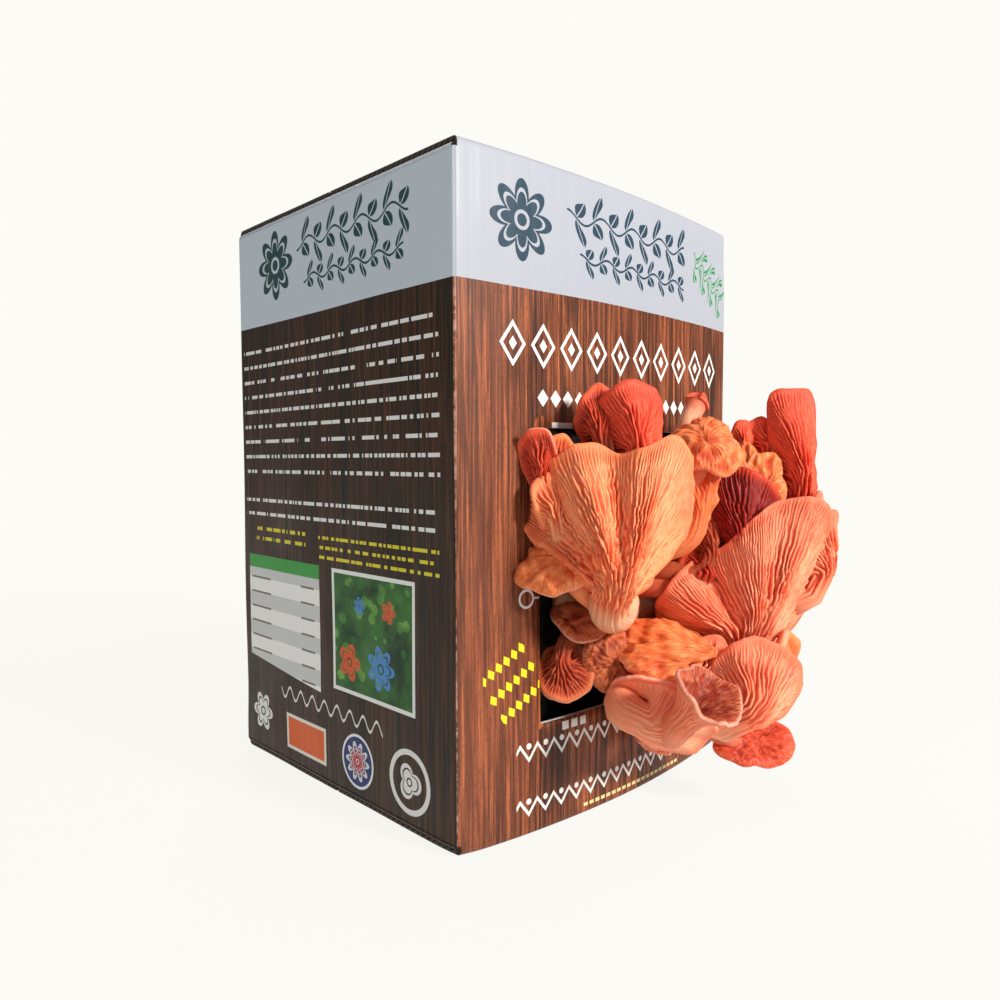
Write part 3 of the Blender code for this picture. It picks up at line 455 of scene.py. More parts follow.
def rim_line(shape, look, seed):
    """Angle, reach and lift round the rim in quarter degrees, with rounded lobes and an uneven margin."""
    points = np.array(sorted(shape["rim"]), float)
    points = np.vstack([points, points[0] + (360, 0, 0)])
    angles = points[:, 0]
    degrees = np.arange(-180, 180, 0.25)
    wrapped = (degrees - angles[0]) % 360 + angles[0]
    index = np.clip(np.searchsorted(angles, wrapped, side="right") - 1, 0, len(angles) - 2)
    step = (wrapped - angles[index]) / (angles[index + 1] - angles[index])
    step = (0.5 * step + 0.25 - 0.25 * np.cos(np.pi * step))[:, None]
    value = points[index] * (1 - step) + points[index + 1] * step
    soft = np.exp(-0.5 * (np.arange(len(degrees) // 2 + 1) * math.radians(ROUNDED_LOBE)) ** 2)
    reach, lift = (np.fft.irfft(np.fft.rfft(row) * soft, len(degrees)) for row in value.T[1:])
    turned = np.radians(degrees)
    ring = np.stack([np.cos(turned), np.sin(turned), 0 * degrees], axis=1) * reach[:, None]
    uneven = look["margin"] * np.clip(reach / 14, 0.3, 1)
    reach = reach + uneven * 0.45 * waves(ring, 4.2, seed) + uneven * 0.16 * waves(ring, 1.6, seed + 1)
    lift = lift + uneven * 0.6 * waves(ring, 6.5, seed + 2) + uneven * 0.2 * waves(ring, 2.6, seed + 3)
    return degrees, reach, lift


def spokes_round(degrees, reach, lift, spacing, per_gill):
    """Angles of the rows of points from the neck to the rim, a few for each gill."""
    along = np.radians(degrees)
    edge = np.stack([reach * np.cos(along), reach * np.sin(along), lift], axis=1)
    steps = np.linalg.norm(np.roll(edge, -1, axis=0) - edge, axis=1)
    gills = max(16, 8 * round(steps.sum() / spacing / 8))
    steps = 0.85 * steps / steps.sum() + 0.15 / len(steps)
    run = np.concatenate([[0], np.cumsum(steps)])
    count = gills * per_gill
    return np.interp((np.arange(count) + 0.5) / count, run, np.append(degrees, 180.0))


def stem_rows(shape, angles, count):
    """Rings of points from the root to the neck, and the stem's direction at the neck."""
    root, neck = np.array(shape["root"], float), np.array(shape["neck"], float)
    reach = np.linalg.norm(neck - root) * STEM_STRAIGHT
    curve = (root, root + unit(shape["out"]) * reach, neck - unit(shape["rise"]) * reach, neck)
    at_neck = before = unit(shape["rise"])
    front = unit(np.cross(cap_directions(shape)[2], at_neck))
    rings = []
    for step in range(count, -1, -1):
        t = step / count
        centre, along = bezier(curve, t)
        turn = Vector(before).rotation_difference(Vector(along))
        front = np.array(turn @ Vector(front))
        side = np.cross(along, front)
        before = along
        radius = shape["stem"][0] + (shape["stem"][1] - shape["stem"][0]) * t ** 0.8
        rings.insert(0, centre + radius * (np.cos(angles) * front + np.sin(angles) * side))
    return np.array(rings), at_neck


def gill_ridges(number, pitch, place, spacing, loose, seed):
    """Height of the gill side, from 0 in a gap to 1 on the edge of a gill.

    number: which gill a point lies at, out at the rim. pitch: how far apart all of those would be here.
    loose: how much the gills wander here.
    Where they would crowd, only every second, fourth or eighth gill goes on towards the stem.
    """
    wander = loose * (0.42 * waves(place, 4.5, seed) + 0.2 * waves(place, 1.7, seed + 1))
    number = number + wander / np.maximum(pitch, 0.35)
    height = np.zeros_like(pitch)
    for level in range(5):
        step = 2 ** level
        nearest = np.round(number / step)
        away = np.abs(number - nearest * step) * pitch
        luck = (np.sin(nearest * 12.9898 * (level + 1) + seed) * 43758.5453) % 1
        grown = ease(pitch * step / spacing, 0.5 + 0.3 * luck, 0.75 + 0.35 * luck)
        height = np.maximum(height, grown * np.exp(-(away / (0.31 * spacing)) ** 3))
    return height * np.clip(0.86 + 0.14 * waves(place, 1.5, seed + 2), 0.4, 1)


def surface_normals(grid):
    around = np.roll(grid, -1, axis=1) - np.roll(grid, 1, axis=1)
    return unit(np.cross(around, np.gradient(grid, axis=0)) + 1e-9)


def blurred(values, reach):
    """The same values, evened out round each ring."""
    total = values.copy()
    for step in range(1, reach + 1):
        total += np.roll(values, step, axis=1) + np.roll(values, -step, axis=1)
    return total / (2 * reach + 1)


def facing_normals(grid, towards, first, reach):
    """Evened out directions square to a sheet of points, on the side that looks this way."""
    normal = surface_normals(grid)
    if np.sum(normal[first:] * towards) < 0:
        normal = -normal
    return unit(blurred(normal, reach))


def cap_sheet(shape, look, spokes, reach, lift, seed):
    """The gill side before it has gills: rows of points from the root up the stem and out to the rim.

    It also returns the stem's direction at the neck, and how far the rim is from it on each spoke.
    """
    gill, spread, across = cap_directions(shape)
    angles = np.radians(spokes)[:, None]
    ruffles, swell = shape["ruffle"]
    lift = lift + swell * np.sin(ruffles * angles[:, 0]) * np.clip(reach / FULL_RUFFLE, 0, 1)
    stem, along = stem_rows(shape, angles, STEM_ROWS)
    start = stem[-1]
    outward = np.cos(angles) * spread + np.sin(angles) * across
    rim = np.array(shape["neck"], float) + reach[:, None] * outward + lift[:, None] * gill
    span = np.linalg.norm(rim - start, axis=1)[:, None]
    curl = math.radians(shape["curl"])
    arrive = math.cos(curl) * outward + math.sin(curl) * gill
    swelling = gill * shape["belly"] * np.clip((span - shape["stem"][1]) / FULL_BELLY, 0, 1)
    leave = start + along * span * CAP_STRAIGHT + swelling
    curve = (start, leave, rim - arrive * span * RIM_STRAIGHT + swelling * RIM_SWELLING, rim)
    shares = np.linspace(0, 1, look["rows"] + 1)
    under = np.array([bezier(curve, t)[0] for t in shares])

    fold = sum(height * np.exp(-(((spokes - at) / wide) ** 2)) for at, height, wide in look["folds"])
    fold = fold + 0.55 * np.clip(reach / 30, 0.2, 1) * waves(outward * 16, 7.0, seed + 4)
    rise = np.sin(np.clip(shares / 0.65, 0, 1) * math.pi / 2) * ease(shares, 0.12, 0.6)
    under = under + gill * (rise[:, None] * fold)[:, :, None]
    bumps = 0.35 * waves(stem, 5.0, seed + 5)[:, :, None]
    stem = stem + unit(stem - stem.mean(axis=1, keepdims=True)) * bumps
    stem[-1] = start
    return np.concatenate([stem, under[1:]]), along, span


def carve_gills(sheet, normal, spokes, look, sizes, seed):
    """Presses the gaps between the gills into the sheet.

    It also returns how deep in a gap each point lies, from 0 to 1, and how far from the neck.
    """
    per_gill = look["per_gill"]
    steps = np.linalg.norm(np.diff(sheet, axis=0), axis=2)
    run = np.concatenate([np.zeros((1, len(spokes))), np.cumsum(steps, axis=0)])
    run = run - run[STEM_ROWS]
    to_rim = run[-1] - run
    share = run / np.maximum(run[-1], 1)
    beside = np.linalg.norm(np.roll(sheet, -1, axis=1) - np.roll(sheet, 1, axis=1), axis=2) / 2
    pitch = blurred(beside * per_gill, 2 * per_gill)
    spacing = sizes.gill_spacing / MM * (1.55 - 0.55 * ease(share, 0.15, 0.8))
    loose = 1 + look["loose"] * (1 - ease(share, 0.25, 0.75))
    height = gill_ridges(np.arange(len(spokes)) / per_gill, pitch, sheet, spacing, loose, seed + 6)

    angles = np.radians(spokes)
    ring = np.stack([np.cos(angles) * 9, np.sin(angles) * 9, 0 * angles], axis=1)
    fade = 5 + 3 * waves(ring, 2.0, seed + 9)
    strength = ease(to_rim, 0.2, 2.6) * ease(run, -fade - 4, -fade + 5) * ease(np.cos(angles), -0.9, -0.3)
    gap = (1 - height) * strength
    crowded = 1 - ease(pitch / spacing, 0.35, 0.95)
    uneven = np.clip(1 + 0.3 * waves(sheet, 11, seed + 10), 0.5, 1.4)
    depth = sizes.gill_depth / MM * look["gills"] * (0.8 + 0.7 * crowded) * uneven
    carved = sheet - normal * (depth * gap)[:, :, None]
    lumps = 0.12 * waves(sheet, 2.2, seed + 11) * ease(to_rim, 0, 2)
    return carved + normal * lumps[:, :, None], gap, run


def rim_edge(sheet, normal, thick):
    """Rows of points round the edge of the rim, from the gill side to the top side."""
    out = unit(sheet[-1] - sheet[-2])
    middle = sheet[-1] - normal[-1] * thick / 2
    turns = [math.radians(degrees) for degrees in RIM_ROUND]
    return [middle + (math.cos(a) * normal[-1] + math.sin(a) * out) * thick / 2 for a in turns]


def top_side(shape, look, sheet, normal, along, span, spokes, seed):
    """Rows of points from the rim over the top side, and the crown where they all end.

    It also returns how deep in a hollow each point lies, from 0 to 1, and how far from the rim.
    """
    gill, spread = cap_directions(shape)[:2]
    at_crown, at_rim = shape["thick"]
    room = np.clip(span / FULL_FLESH, 0, 1)
    rows, top_rows = look["rows"], look["top_rows"]
    beside = max(3, top_rows // 2)
    over = []
    for step in range(beside + 1):
        share = 1 - TOP_SHARE * step / beside
        row = STEM_ROWS + share * rows
        low = int(min(row, STEM_ROWS + rows - 1))
        part = row - low
        base = sheet[low] * (1 - part) + sheet[low + 1] * part
        facing = unit(normal[low] * (1 - part) + normal[low + 1] * part)
        over.append(base - facing * (at_rim + (at_crown - at_rim) * (1 - share) ** 1.2 * room))

    onward = along - gill * (along @ gill)
    crown = np.array(shape["neck"], float) + at_crown * (CROWN_ONWARD * onward - CROWN_BACK * gill)
    crown = crown + look["crown"] * spread
    last = over[-1]
    width = np.linalg.norm(crown - last, axis=1)[:, None]
    flat = (last - crown) - gill * ((last - crown) @ gill)[:, None]
    closing = (last, last + unit(last - over[-2]) * width * 0.35, crown + flat * 0.35, crown + 0 * last)
    for step in range(1, top_rows - beside + 1):
        over.append(bezier(closing, step / (top_rows - beside + 1))[0])
    over = np.array(over)

    outside = facing_normals(over, -gill, 0, 3)
    from_rim = np.linalg.norm(over - over[0], axis=2)
    bumps = look["rough"] * (0.9 - np.abs(waves(over, look["lump"], seed + 12)) * 0.9)
    bumps = bumps + 0.35 * look["rough"] * waves(over, look["lump"] * 0.45, seed + 13)
    angles = np.radians(spokes)
    strands = np.broadcast_arrays(np.cos(angles) * 14, np.sin(angles) * 14, from_rim * 0.22)
    strands = np.stack(strands, axis=2)
    bumps = bumps + look["strands"] * (0.8 - np.abs(waves(strands + 0.25 * over, 1.1, seed + 14)))
    hollow = np.clip(0.5 - bumps / (look["rough"] + look["strands"] + 0.2), 0, 1)
    over = over + outside * (bumps * ease(from_rim, -1.5, 3))[:, :, None]
    return over, crown, hollow, from_rim


def skin_marks(look, sizes, gap, run, hollow, from_rim):
    """What the flesh's colours go by at each point.

    The first marks are (depth in a gap or hollow, share of the way to the rim, top side), and the second
    are (across the gills, along them, on the stem), with the first two of these in millimetres.
    """
    under, edge = len(gap), len(RIM_ROUND)
    top = slice(under + edge, None)
    spokes = gap.shape[1]
    seen = np.zeros((under + edge + len(hollow), spokes, 3))
    grain = np.zeros_like(seen)
    # Depth in a gap or hollow, which the flesh's colours turn into painted shade
    seen[:under, :, 0] = gap * min(1, 0.25 + look["gills"])
    seen[top, :, 0] = hollow * ease(from_rim, 0.5, 3)
    seen[:under, :, 1] = np.clip(run / np.maximum(run[-1], 1), -1, 1)
    seen[under:, :, 1] = 1
    seen[top, :, 1] = 1 - from_rim / np.maximum(from_rim.max(axis=0), 1)
    seen[under:under + edge, :, 2] = np.linspace(0.25, 0.75, edge)[:, None]
    seen[top, :, 2] = 1
    grain[:, :, 0] = np.arange(spokes) / look["per_gill"] * sizes.gill_spacing / MM
    grain[:under, :, 1] = run
    grain[under:, :, 1] = run[-1]
    grain[top, :, 1] = run[-1] + from_rim
    grain[:under, :, 2] = ease(-run, -2, 6) * look["pale"]
    return seen, grain


def fruit_surface(shape, look, sizes, seed):
    """Rows of points from the root of the stem over the gill side, the rim and the top side to the crown.

    It also returns the crown and the two sets of marks for the flesh's colours.
    """
    degrees, reaches, lifts = rim_line(shape, look, seed)
    spokes = spokes_round(degrees, reaches, lifts, sizes.gill_spacing / MM, look["per_gill"])
    reach, lift = (np.interp(spokes, degrees, line, period=360) for line in (reaches, lifts))
    sheet, along, span = cap_sheet(shape, look, spokes, reach, lift, seed)
    normal = facing_normals(sheet, cap_directions(shape)[0], STEM_ROWS, 4)
    ridged, gap, run = carve_gills(sheet, normal, spokes, look, sizes, seed)
    edge = rim_edge(sheet, normal, shape["thick"][1])
    over, crown, hollow, from_rim = top_side(shape, look, sheet, normal, along, span, spokes, seed)
    seen, grain = skin_marks(look, sizes, gap, run, hollow, from_rim)
    return np.concatenate([ridged, edge, over]), crown, seen, grain


def skin_mesh(name, first, grid, last, seen, grain):
    """A closed mesh from a point through the rows of a grid to another point, with two sets of marks."""
    rows, sides = grid.shape[:2]
    points = np.concatenate([[first], grid.reshape(-1, 3), [last]]) * MM
    index = np.arange(rows * sides).reshape(rows, sides) + 1
    after = np.roll(index, -1, axis=1)
    quads = np.stack([index[:-1], after[:-1], after[1:], index[1:]], axis=2).reshape(-1, 4)
    foot = np.stack([np.zeros(sides, int), after[0], index[0]], axis=1)
    tip = np.stack([np.full(sides, rows * sides + 1), index[-1], after[-1]], axis=1)
    mesh = bpy.data.meshes.new(name)
    mesh.from_pydata(points.tolist(), [], quads.tolist() + foot.tolist() + tip.tolist())
    for label, marks in (("flesh_look", seen), ("flesh_run", grain)):
        flat = marks.reshape(-1, 3)
        flat = np.concatenate([flat[:1], flat, flat[-1:]]).astype(np.float32)
        mesh.attributes.new(label, "FLOAT_VECTOR", "POINT").data.foreach_set("vector", flat.ravel())
    mesh.shade_smooth()
    mesh.update()
    return mesh


def srgb(red, green, blue):
    """A colour given as 0 to 255 on the screen, as the plain amounts of light that a material takes."""
    shares = (red / 255, green / 255, blue / 255)
    return tuple(c / 12.92 if c <= 0.04 else ((c + 0.055) / 1.055) ** 2.4 for c in shares)


def size_property(name, description, size, least, most):
    return FloatProperty(
        name=name, description=description, default=size * MM, min=least * MM, max=most * MM, unit="LENGTH")


def colour_property(name, description, red, green, blue):
    return FloatVectorProperty(
        name=name, description=description, default=srgb(red, green, blue), subtype="COLOR", min=0, max=1)


class GrowKitSizes(bpy.types.PropertyGroup):
    gill_spacing: size_property(
        "Gill spacing", "Distance between neighbouring gills along the rim", 1.25, 0.8, 4)
    gill_depth: size_property(
        "Gill depth", "Depth of the gaps between gills where the gills stand well apart", 1.0, 0.1, 3)
    bag_wrinkles: size_property(
        "Bag wrinkles", "Height of the wrinkles in the film round the block", 1.1, 0, 2)
    board_warp: size_property(
        "Board warp", "How far the carton's walls stray from flat", 0.35, 0, 1.5)
    crushed_corner: size_property(
        "Crushed corner", "How far the carton's lowest front corner is pushed in", 0.5, 0, 3)
    clump_lumps: size_property(
        "Clump lumps", "Height of the lumps on the mass that the stems share", 0.9, 0, 2)


class GrowKitColours(bpy.types.PropertyGroup):
    """Colours of the print, the bag and the block"""

    wood: colour_property("Wood", "Main brown of the printed boards", 118, 61, 37)
    wood_dark: colour_property("Dark wood", "Brown of the dark streaks between the boards", 54, 30, 20)
    wood_light: colour_property("Light wood", "Brown of the light streaks", 190, 106, 64)
    band: colour_property("Band", "White of the carton's upper band", 158, 161, 170)
    emblem: colour_property("Emblem", "Slate blue of the emblem and garland on the wide sides", 34, 58, 74)
    lettering: colour_property("Light print", "White of the ornaments on the wood", 222, 219, 214)
    accent: colour_property("Yellow print", "Yellow of the small ornaments", 214, 200, 40)
    film: colour_property("Film", "Black of the bag's film", 20, 24, 21)
    straw: colour_property("Straw", "Colour of the block under its white threads", 150, 120, 84)


class Paint:
    """A material being built, with short names for its nodes."""

    def __init__(self, name, **shader):
        self.material = bpy.data.materials.new(name)
        self.material.use_nodes = True
        self.nodes, self.links = self.material.node_tree.nodes, self.material.node_tree.links
        self.shader = self.nodes["Principled BSDF"]
        for label, value in shader.items():
            self.feed(self.shader.inputs[label.replace("_", " ").title().replace("Ior", "IOR")], value)

    def feed(self, socket, value):
        if isinstance(value, bpy.types.NodeSocket):
            self.links.new(value, socket)
        elif isinstance(value, (tuple, list)) and len(socket.default_value) == 4:
            socket.default_value = (*value[:3], 1)
        else:
            socket.default_value = value

    def add(self, kind, *values, **settings):
        node = self.nodes.new("ShaderNode" + kind)
        for label, value in settings.items():
            setattr(node, label, value)
        for socket, value in zip(node.inputs, values):
            if value is not None:
                self.feed(socket, value)
        return node

    def calc(self, operation, *values, clamp=False):
        return self.add("Math", *values, operation=operation, use_clamp=clamp).outputs[0]

    def plus(self, one, other):
        return self.calc("ADD", one, other)

    def minus(self, one, other):
        return self.calc("SUBTRACT", one, other)

    def times(self, one, other):
        return self.calc("MULTIPLY", one, other)

    def over(self, one, other):
        return self.calc("DIVIDE", one, other)

    def size(self, value):
        return self.calc("ABSOLUTE", value)

    def above(self, value, level):
        return self.calc("GREATER_THAN", value, level)

    def below(self, value, level):
        return self.calc("LESS_THAN", value, level)

    def without(self, mask, hole):
        return self.calc("SUBTRACT", mask, hole, clamp=True)

    def place(self):
        return self.add("TexCoord").outputs["Object"]

    def facing(self):
        return self.add("TexCoord").outputs["Normal"]

    def split(self, vector):
        return self.add("SeparateXYZ", vector).outputs

    def join(self, x, y, z):
        return self.add("CombineXYZ", x, y, z).outputs[0]

    def noise(self, vector, scale, detail=2.0, rough=0.5, bend=0.0):
        node = self.add("TexNoise", vector)
        settings = {"Scale": scale, "Detail": detail, "Roughness": rough, "Distortion": bend}
        for label, value in settings.items():
            node.inputs[label].default_value = value
        return node.outputs[0]

    def stretch(self, value, low, high, to_low=0.0, to_high=1.0):
        return self.add("MapRange", value, low, high, to_low, to_high).outputs[0]

    def blend(self, share, one, other, kind="MIX"):
        node = self.add("Mix", data_type="RGBA", blend_type=kind)
        for socket, value in zip((node.inputs[0], node.inputs[6], node.inputs[7]), (share, one, other)):
            self.feed(socket, value)
        return node.outputs[2]

    def near(self, value, middle, half):
        """1 where the value is within half of the middle, and 0 elsewhere."""
        return self.calc("COMPARE", value, middle, half)

    def between(self, value, low, high):
        return self.near(value, (low + high) / 2, (high - low) / 2)

    def both(self, *masks):
        result = masks[0]
        for mask in masks[1:]:
            result = self.times(result, mask)
        return result

    def either(self, *masks):
        result = masks[0]
        for mask in masks[1:]:
            result = self.calc("MAXIMUM", result, mask)
        return result

    def rectangle(self, u, v, left, right, low, high):
        return self.both(self.between(u, left, right), self.between(v, low, high))

    def distance(self, u, v, x, z):
        du, dv = self.minus(u, x), self.minus(v, z)
        return self.calc("SQRT", self.plus(self.times(du, du), self.times(dv, dv)))

    def disc(self, u, v, x, z, radius):
        return self.below(self.distance(u, v, x, z), radius)

    def ring(self, u, v, x, z, radius, half):
        return self.near(self.distance(u, v, x, z), radius, half)

    def repeat(self, value, period):
        """Distance from the middle of each stretch of this length."""
        return self.calc("PINGPONG", value, period / 2)

    def rise(self, height, distance, strength=1.0):
        node = self.add("Bump")
        self.feed(node.inputs["Height"], height)
        node.inputs["Distance"].default_value = distance
        node.inputs["Strength"].default_value = strength
        self.links.new(node.outputs[0], self.shader.inputs["Normal"])

    def finish(self, colour, roughness=None):
        self.feed(self.shader.inputs["Base Color"], colour)
        if roughness is not None:
            self.feed(self.shader.inputs["Roughness"], roughness)
        return self.material


def millimetres(paint):
    """Where a point of the surface is, in the millimetres of the shapes."""
    scaled = paint.add("VectorMath", paint.place(), (1 / MM, 1 / MM, 1 / MM), operation="MULTIPLY")
    return paint.split(scaled.outputs[0])


def petals(paint, u, v, x, z, radius, count):
    """A rosette: a round shape whose edge swings in and out this many times."""
    du, dv = paint.minus(u, x), paint.minus(v, z)
    turn = paint.times(paint.calc("ARCTAN2", dv, du), count / 2)
    swing = paint.calc("MULTIPLY_ADD", paint.size(paint.calc("COSINE", turn)), 0.42, 0.58)
    away = paint.distance(u, v, x, z)
    share = paint.over(away, paint.times(swing, radius))
    body = paint.below(share, 1.0)
    line = paint.near(share, 0.72, 0.05)
    heart = paint.near(away, radius * 0.2, radius * 0.045)
    return paint.without(body, paint.either(line, heart))


def garland(paint, u, v, left, right, height, period, leaf):
    """A swinging stalk with a leaf on each side of every swing."""
    swing = paint.times(paint.calc("SINE", paint.times(u, math.pi / period)), leaf * 0.28)
    dv = paint.minus(paint.minus(v, height), swing)
    stalk = paint.near(dv, 0, 0.42)
    lean = paint.calc("MULTIPLY_ADD", paint.size(dv), -0.55, u)
    du = paint.repeat(lean, period)
    across = paint.over(du, period * 0.27)
    along = paint.over(paint.minus(paint.size(dv), leaf * 0.56), leaf * 0.5)
    size = paint.plus(paint.size(across), paint.times(along, along))
    leaves = paint.below(size, 1.0)
    vein = paint.near(du, 0, 0.22)
    leaves = paint.without(leaves, vein)
    return paint.both(paint.either(stalk, leaves), paint.between(lean, left, right))


def lozenges(paint, u, v, left, right, height, period, tall, solid=False):
    """A row of lozenges, each solid or an outline round a heart."""
    du = paint.repeat(u, period)
    dv = paint.minus(v, height)
    away = paint.plus(paint.over(paint.size(du), period * 0.42), paint.over(paint.size(dv), tall / 2))
    shape = paint.below(away, 1.0) if solid else paint.either(
        paint.near(away, 0.86, 0.13), paint.below(away, 0.3))
    return paint.both(shape, paint.between(u, left, right))


def lozenge_rows(paint, u, v):
    """Ten large lozenges over sixteen small ones."""
    large = lozenges(paint, paint.plus(u, 3.24), v, -60.66, 74.14, 167, 13.48, 15.5)
    small = lozenges(paint, paint.plus(u, 2.4), v, -44.6, 50.6, 149.5, 5.95, 6.0, solid=True)
    return paint.either(large, small)


def zigzag(paint, u, v, left, right, height, period, tall, half):
    """A zigzag line with a dot in every notch."""
    swing = paint.times(paint.calc("PINGPONG", u, period / 2), 2 * tall / period)
    dv = paint.minus(paint.minus(v, height - tall / 2), swing)
    line = paint.near(dv, 0, half)
    du = paint.repeat(u, period)
    dots = paint.below(paint.distance(du, v, 0, height + tall * 0.42), half * 1.3)
    return paint.both(paint.either(line, dots), paint.between(u, left, right))


def dashes(paint, u, v, left, right, top, step, count, half, seed):
    """Rows of short and long dashes."""
    row = paint.calc("FLOOR", paint.over(paint.minus(top + step / 2, v), step))
    middle = paint.minus(top, paint.times(row, step))
    on_row = paint.below(paint.size(paint.minus(v, middle)), half)
    spot = paint.join(paint.times(u, 0.52), paint.calc("MULTIPLY_ADD", row, 7.31, seed), 0.0)
    there = paint.above(paint.noise(spot, 1.0, 0.0), 0.45)
    inside = paint.rectangle(u, v, left, right, top - step * (count - 0.5), top + step / 2)
    return paint.both(on_row, there, inside)


def turned(paint, u, v, degrees):
    """The same place, measured along and across a line that rises by this many degrees."""
    c, s = math.cos(math.radians(degrees)), math.sin(math.radians(degrees))
    along = paint.plus(paint.times(u, c), paint.times(v, s))
    return along, paint.minus(paint.times(v, c), paint.times(u, s))


def turned_spot(x, z, degrees):
    c, s = math.cos(math.radians(degrees)), math.sin(math.radians(degrees))
    return x * c + z * s, z * c - x * s


def front_print(paint, u, v):
    """Masks of the white and yellow print on the front's wood."""
    light = paint.either(
        lozenge_rows(paint, u, v),
        zigzag(paint, u, v, left=-57, right=63, height=29, period=7.4, tall=5.2, half=0.8),
        zigzag(paint, u, v, left=-57, right=66, height=10, period=7.4, tall=4.8, half=0.8),
        paint.rectangle(u, v, -40, -30, 139.5, 141.4),
        paint.both(paint.rectangle(u, v, -38, -25, 33.6, 36.6), paint.near(paint.repeat(u, 4.4), 0, 1.5)),
        paint.ring(u, v, -52, 81.6, 2.9, 0.42),
        paint.rectangle(u, v, -49.2, -46, 81.2, 82.0),
    )
    lean = 30
    su, sv = turned(paint, u, v, lean)
    at_u, at_v = turned_spot(-58, 54, lean)
    yellow = paint.both(paint.between(u, -70, -46.9), paint.either(*(
        lozenges(paint, su, sv, at_u - half, at_u + half, at_v + row, period=3.6, tall=4.4, solid=True)
        for row, half in ((0, 11), (-8, 10), (8, 10))
    )))
    return light, yellow


def wide_band(paint, u, v):
    """Masks of the slate and green print on the band of the front and back."""
    slate = paint.either(
        petals(paint, u, v, -53, 207.5, 13.5, 8),
        garland(paint, u, v, left=-32.2, right=41.4, height=213.2, period=9.2, leaf=7.4),
        garland(paint, u, v, left=-25.9, right=40.7, height=199.4, period=7.4, leaf=5.0),
    )
    slant = -28
    lu, lv = turned(paint, u, v, slant)
    at_u, at_v = turned_spot(62, 206, slant)
    sprig = garland(paint, lu, lv, left=at_u - 15, right=at_u + 14, height=at_v, period=4.2, leaf=8.4)
    return slate, sprig


def back_print(paint, u, v):
    """Mask of the white print on the back's wood."""
    return paint.either(
        lozenge_rows(paint, u, v),
        dashes(paint, u, v, left=-58, right=58, top=126, step=7.2, count=12, half=1.0, seed=6.3),
        zigzag(paint, u, v, left=-57, right=63, height=16, period=7.4, tall=5.2, half=0.8),
    )


def narrow_print(paint, u, v):
    """Masks of the white and yellow print on the left and right sides' wood."""
    curl = paint.times(paint.calc("SINE", paint.times(u, 0.72)), 2.4)
    light = paint.either(
        dashes(paint, u, v, left=-69, right=65, top=175, step=6.4, count=9, half=0.7, seed=3.7),
        dashes(paint, u, v, left=-69, right=62, top=111.5, step=5.9, count=2, half=0.7, seed=8.1),
        paint.both(paint.near(paint.minus(paint.minus(v, 32.0), curl), 0, 0.55), paint.between(u, -40, 32)),
        paint.ring(u, v, 47.5, 18, 10.4, 1.0),
        petals(paint, u, v, 47.5, 18, 6.6, 3),
        petals(paint, u, v, -57, 19, 8.5, 6),
    )
    yellow = paint.either(
        dashes(paint, u, v, left=-61, right=-18.5, top=99.2, step=4.2, count=2, half=0.75, seed=1.3),
        dashes(paint, u, v, left=-9, right=64, top=98.6, step=3.8, count=3, half=0.62, seed=5.9),
    )
    return light, yellow


def narrow_band(paint, u, v):
    """Mask of the dark green print on the band of the left and right sides."""
    return paint.either(
        petals(paint, u, v, -40, 208.5, 14.0, 8),
        garland(paint, u, v, left=-22.5, right=49.5, height=213.2, period=9.0, leaf=7.4),
        garland(paint, u, v, left=-18.0, right=46.8, height=199.4, period=7.2, leaf=5.0),
    )


def card_table(paint, u, v, colour):
    """A pale card ruled in rows under a green heading, which leans a little."""
    low = paint.calc("MULTIPLY_ADD", u, -0.1, 36.4)
    on_card = paint.both(paint.between(u, -67, -9), paint.above(v, low), paint.below(v, 87.6))
    stripe = paint.above(paint.calc("PINGPONG", paint.minus(v, 36.2), 6.4), 3.2)
    rows = paint.blend(stripe, srgb(232, 230, 226), srgb(198, 198, 196))
    rows = paint.blend(paint.above(v, 82.0), rows, srgb(60, 150, 66))
    marks = paint.both(
        paint.below(paint.size(paint.repeat(paint.minus(v, 39.4), 6.4)), 0.42),
        paint.either(paint.between(u, -65, -48), paint.between(u, -23, -13)),
        paint.below(v, 81.5),
    )
    rows = paint.blend(marks, rows, srgb(120, 112, 104))
    return paint.blend(on_card, colour, rows)


def meadow_picture(paint, u, v, colour):
    """A framed picture of round leaves and blooms in a dark green meadow."""
    frame_mask = paint.rectangle(u, v, 0, 51, 41, 87.5)
    inside = paint.rectangle(u, v, 1.5, 49.5, 42.5, 86)
    spot = paint.join(u, v, 0.0)
    depth = paint.noise(spot, 0.06, 3.0, 0.6)
    meadow = paint.blend(paint.stretch(depth, 0.35, 0.65), srgb(18, 52, 26), srgb(62, 118, 48))
    leaf_spots = paint.add("TexVoronoi", spot, feature="F1")
    leaf_spots.inputs["Scale"].default_value = 0.16
    leaf = paint.below(leaf_spots.outputs["Distance"], 0.34)
    leaves = paint.blend(paint.stretch(depth, 0.4, 0.6), srgb(40, 96, 40), srgb(110, 160, 70))
    meadow = paint.blend(leaf, meadow, leaves)
    blooms = paint.either(petals(paint, u, v, 11, 53, 7.2, 5), petals(paint, u, v, 36, 75, 4.2, 5))
    meadow = paint.blend(blooms, meadow, srgb(214, 84, 40))
    blue = paint.either(petals(paint, u, v, 31, 54, 8.4, 7), petals(paint, u, v, 18, 75, 3.6, 7))
    meadow = paint.blend(blue, meadow, srgb(74, 132, 190))
    colour = paint.blend(frame_mask, colour, srgb(226, 226, 220))
    return paint.blend(inside, colour, meadow)


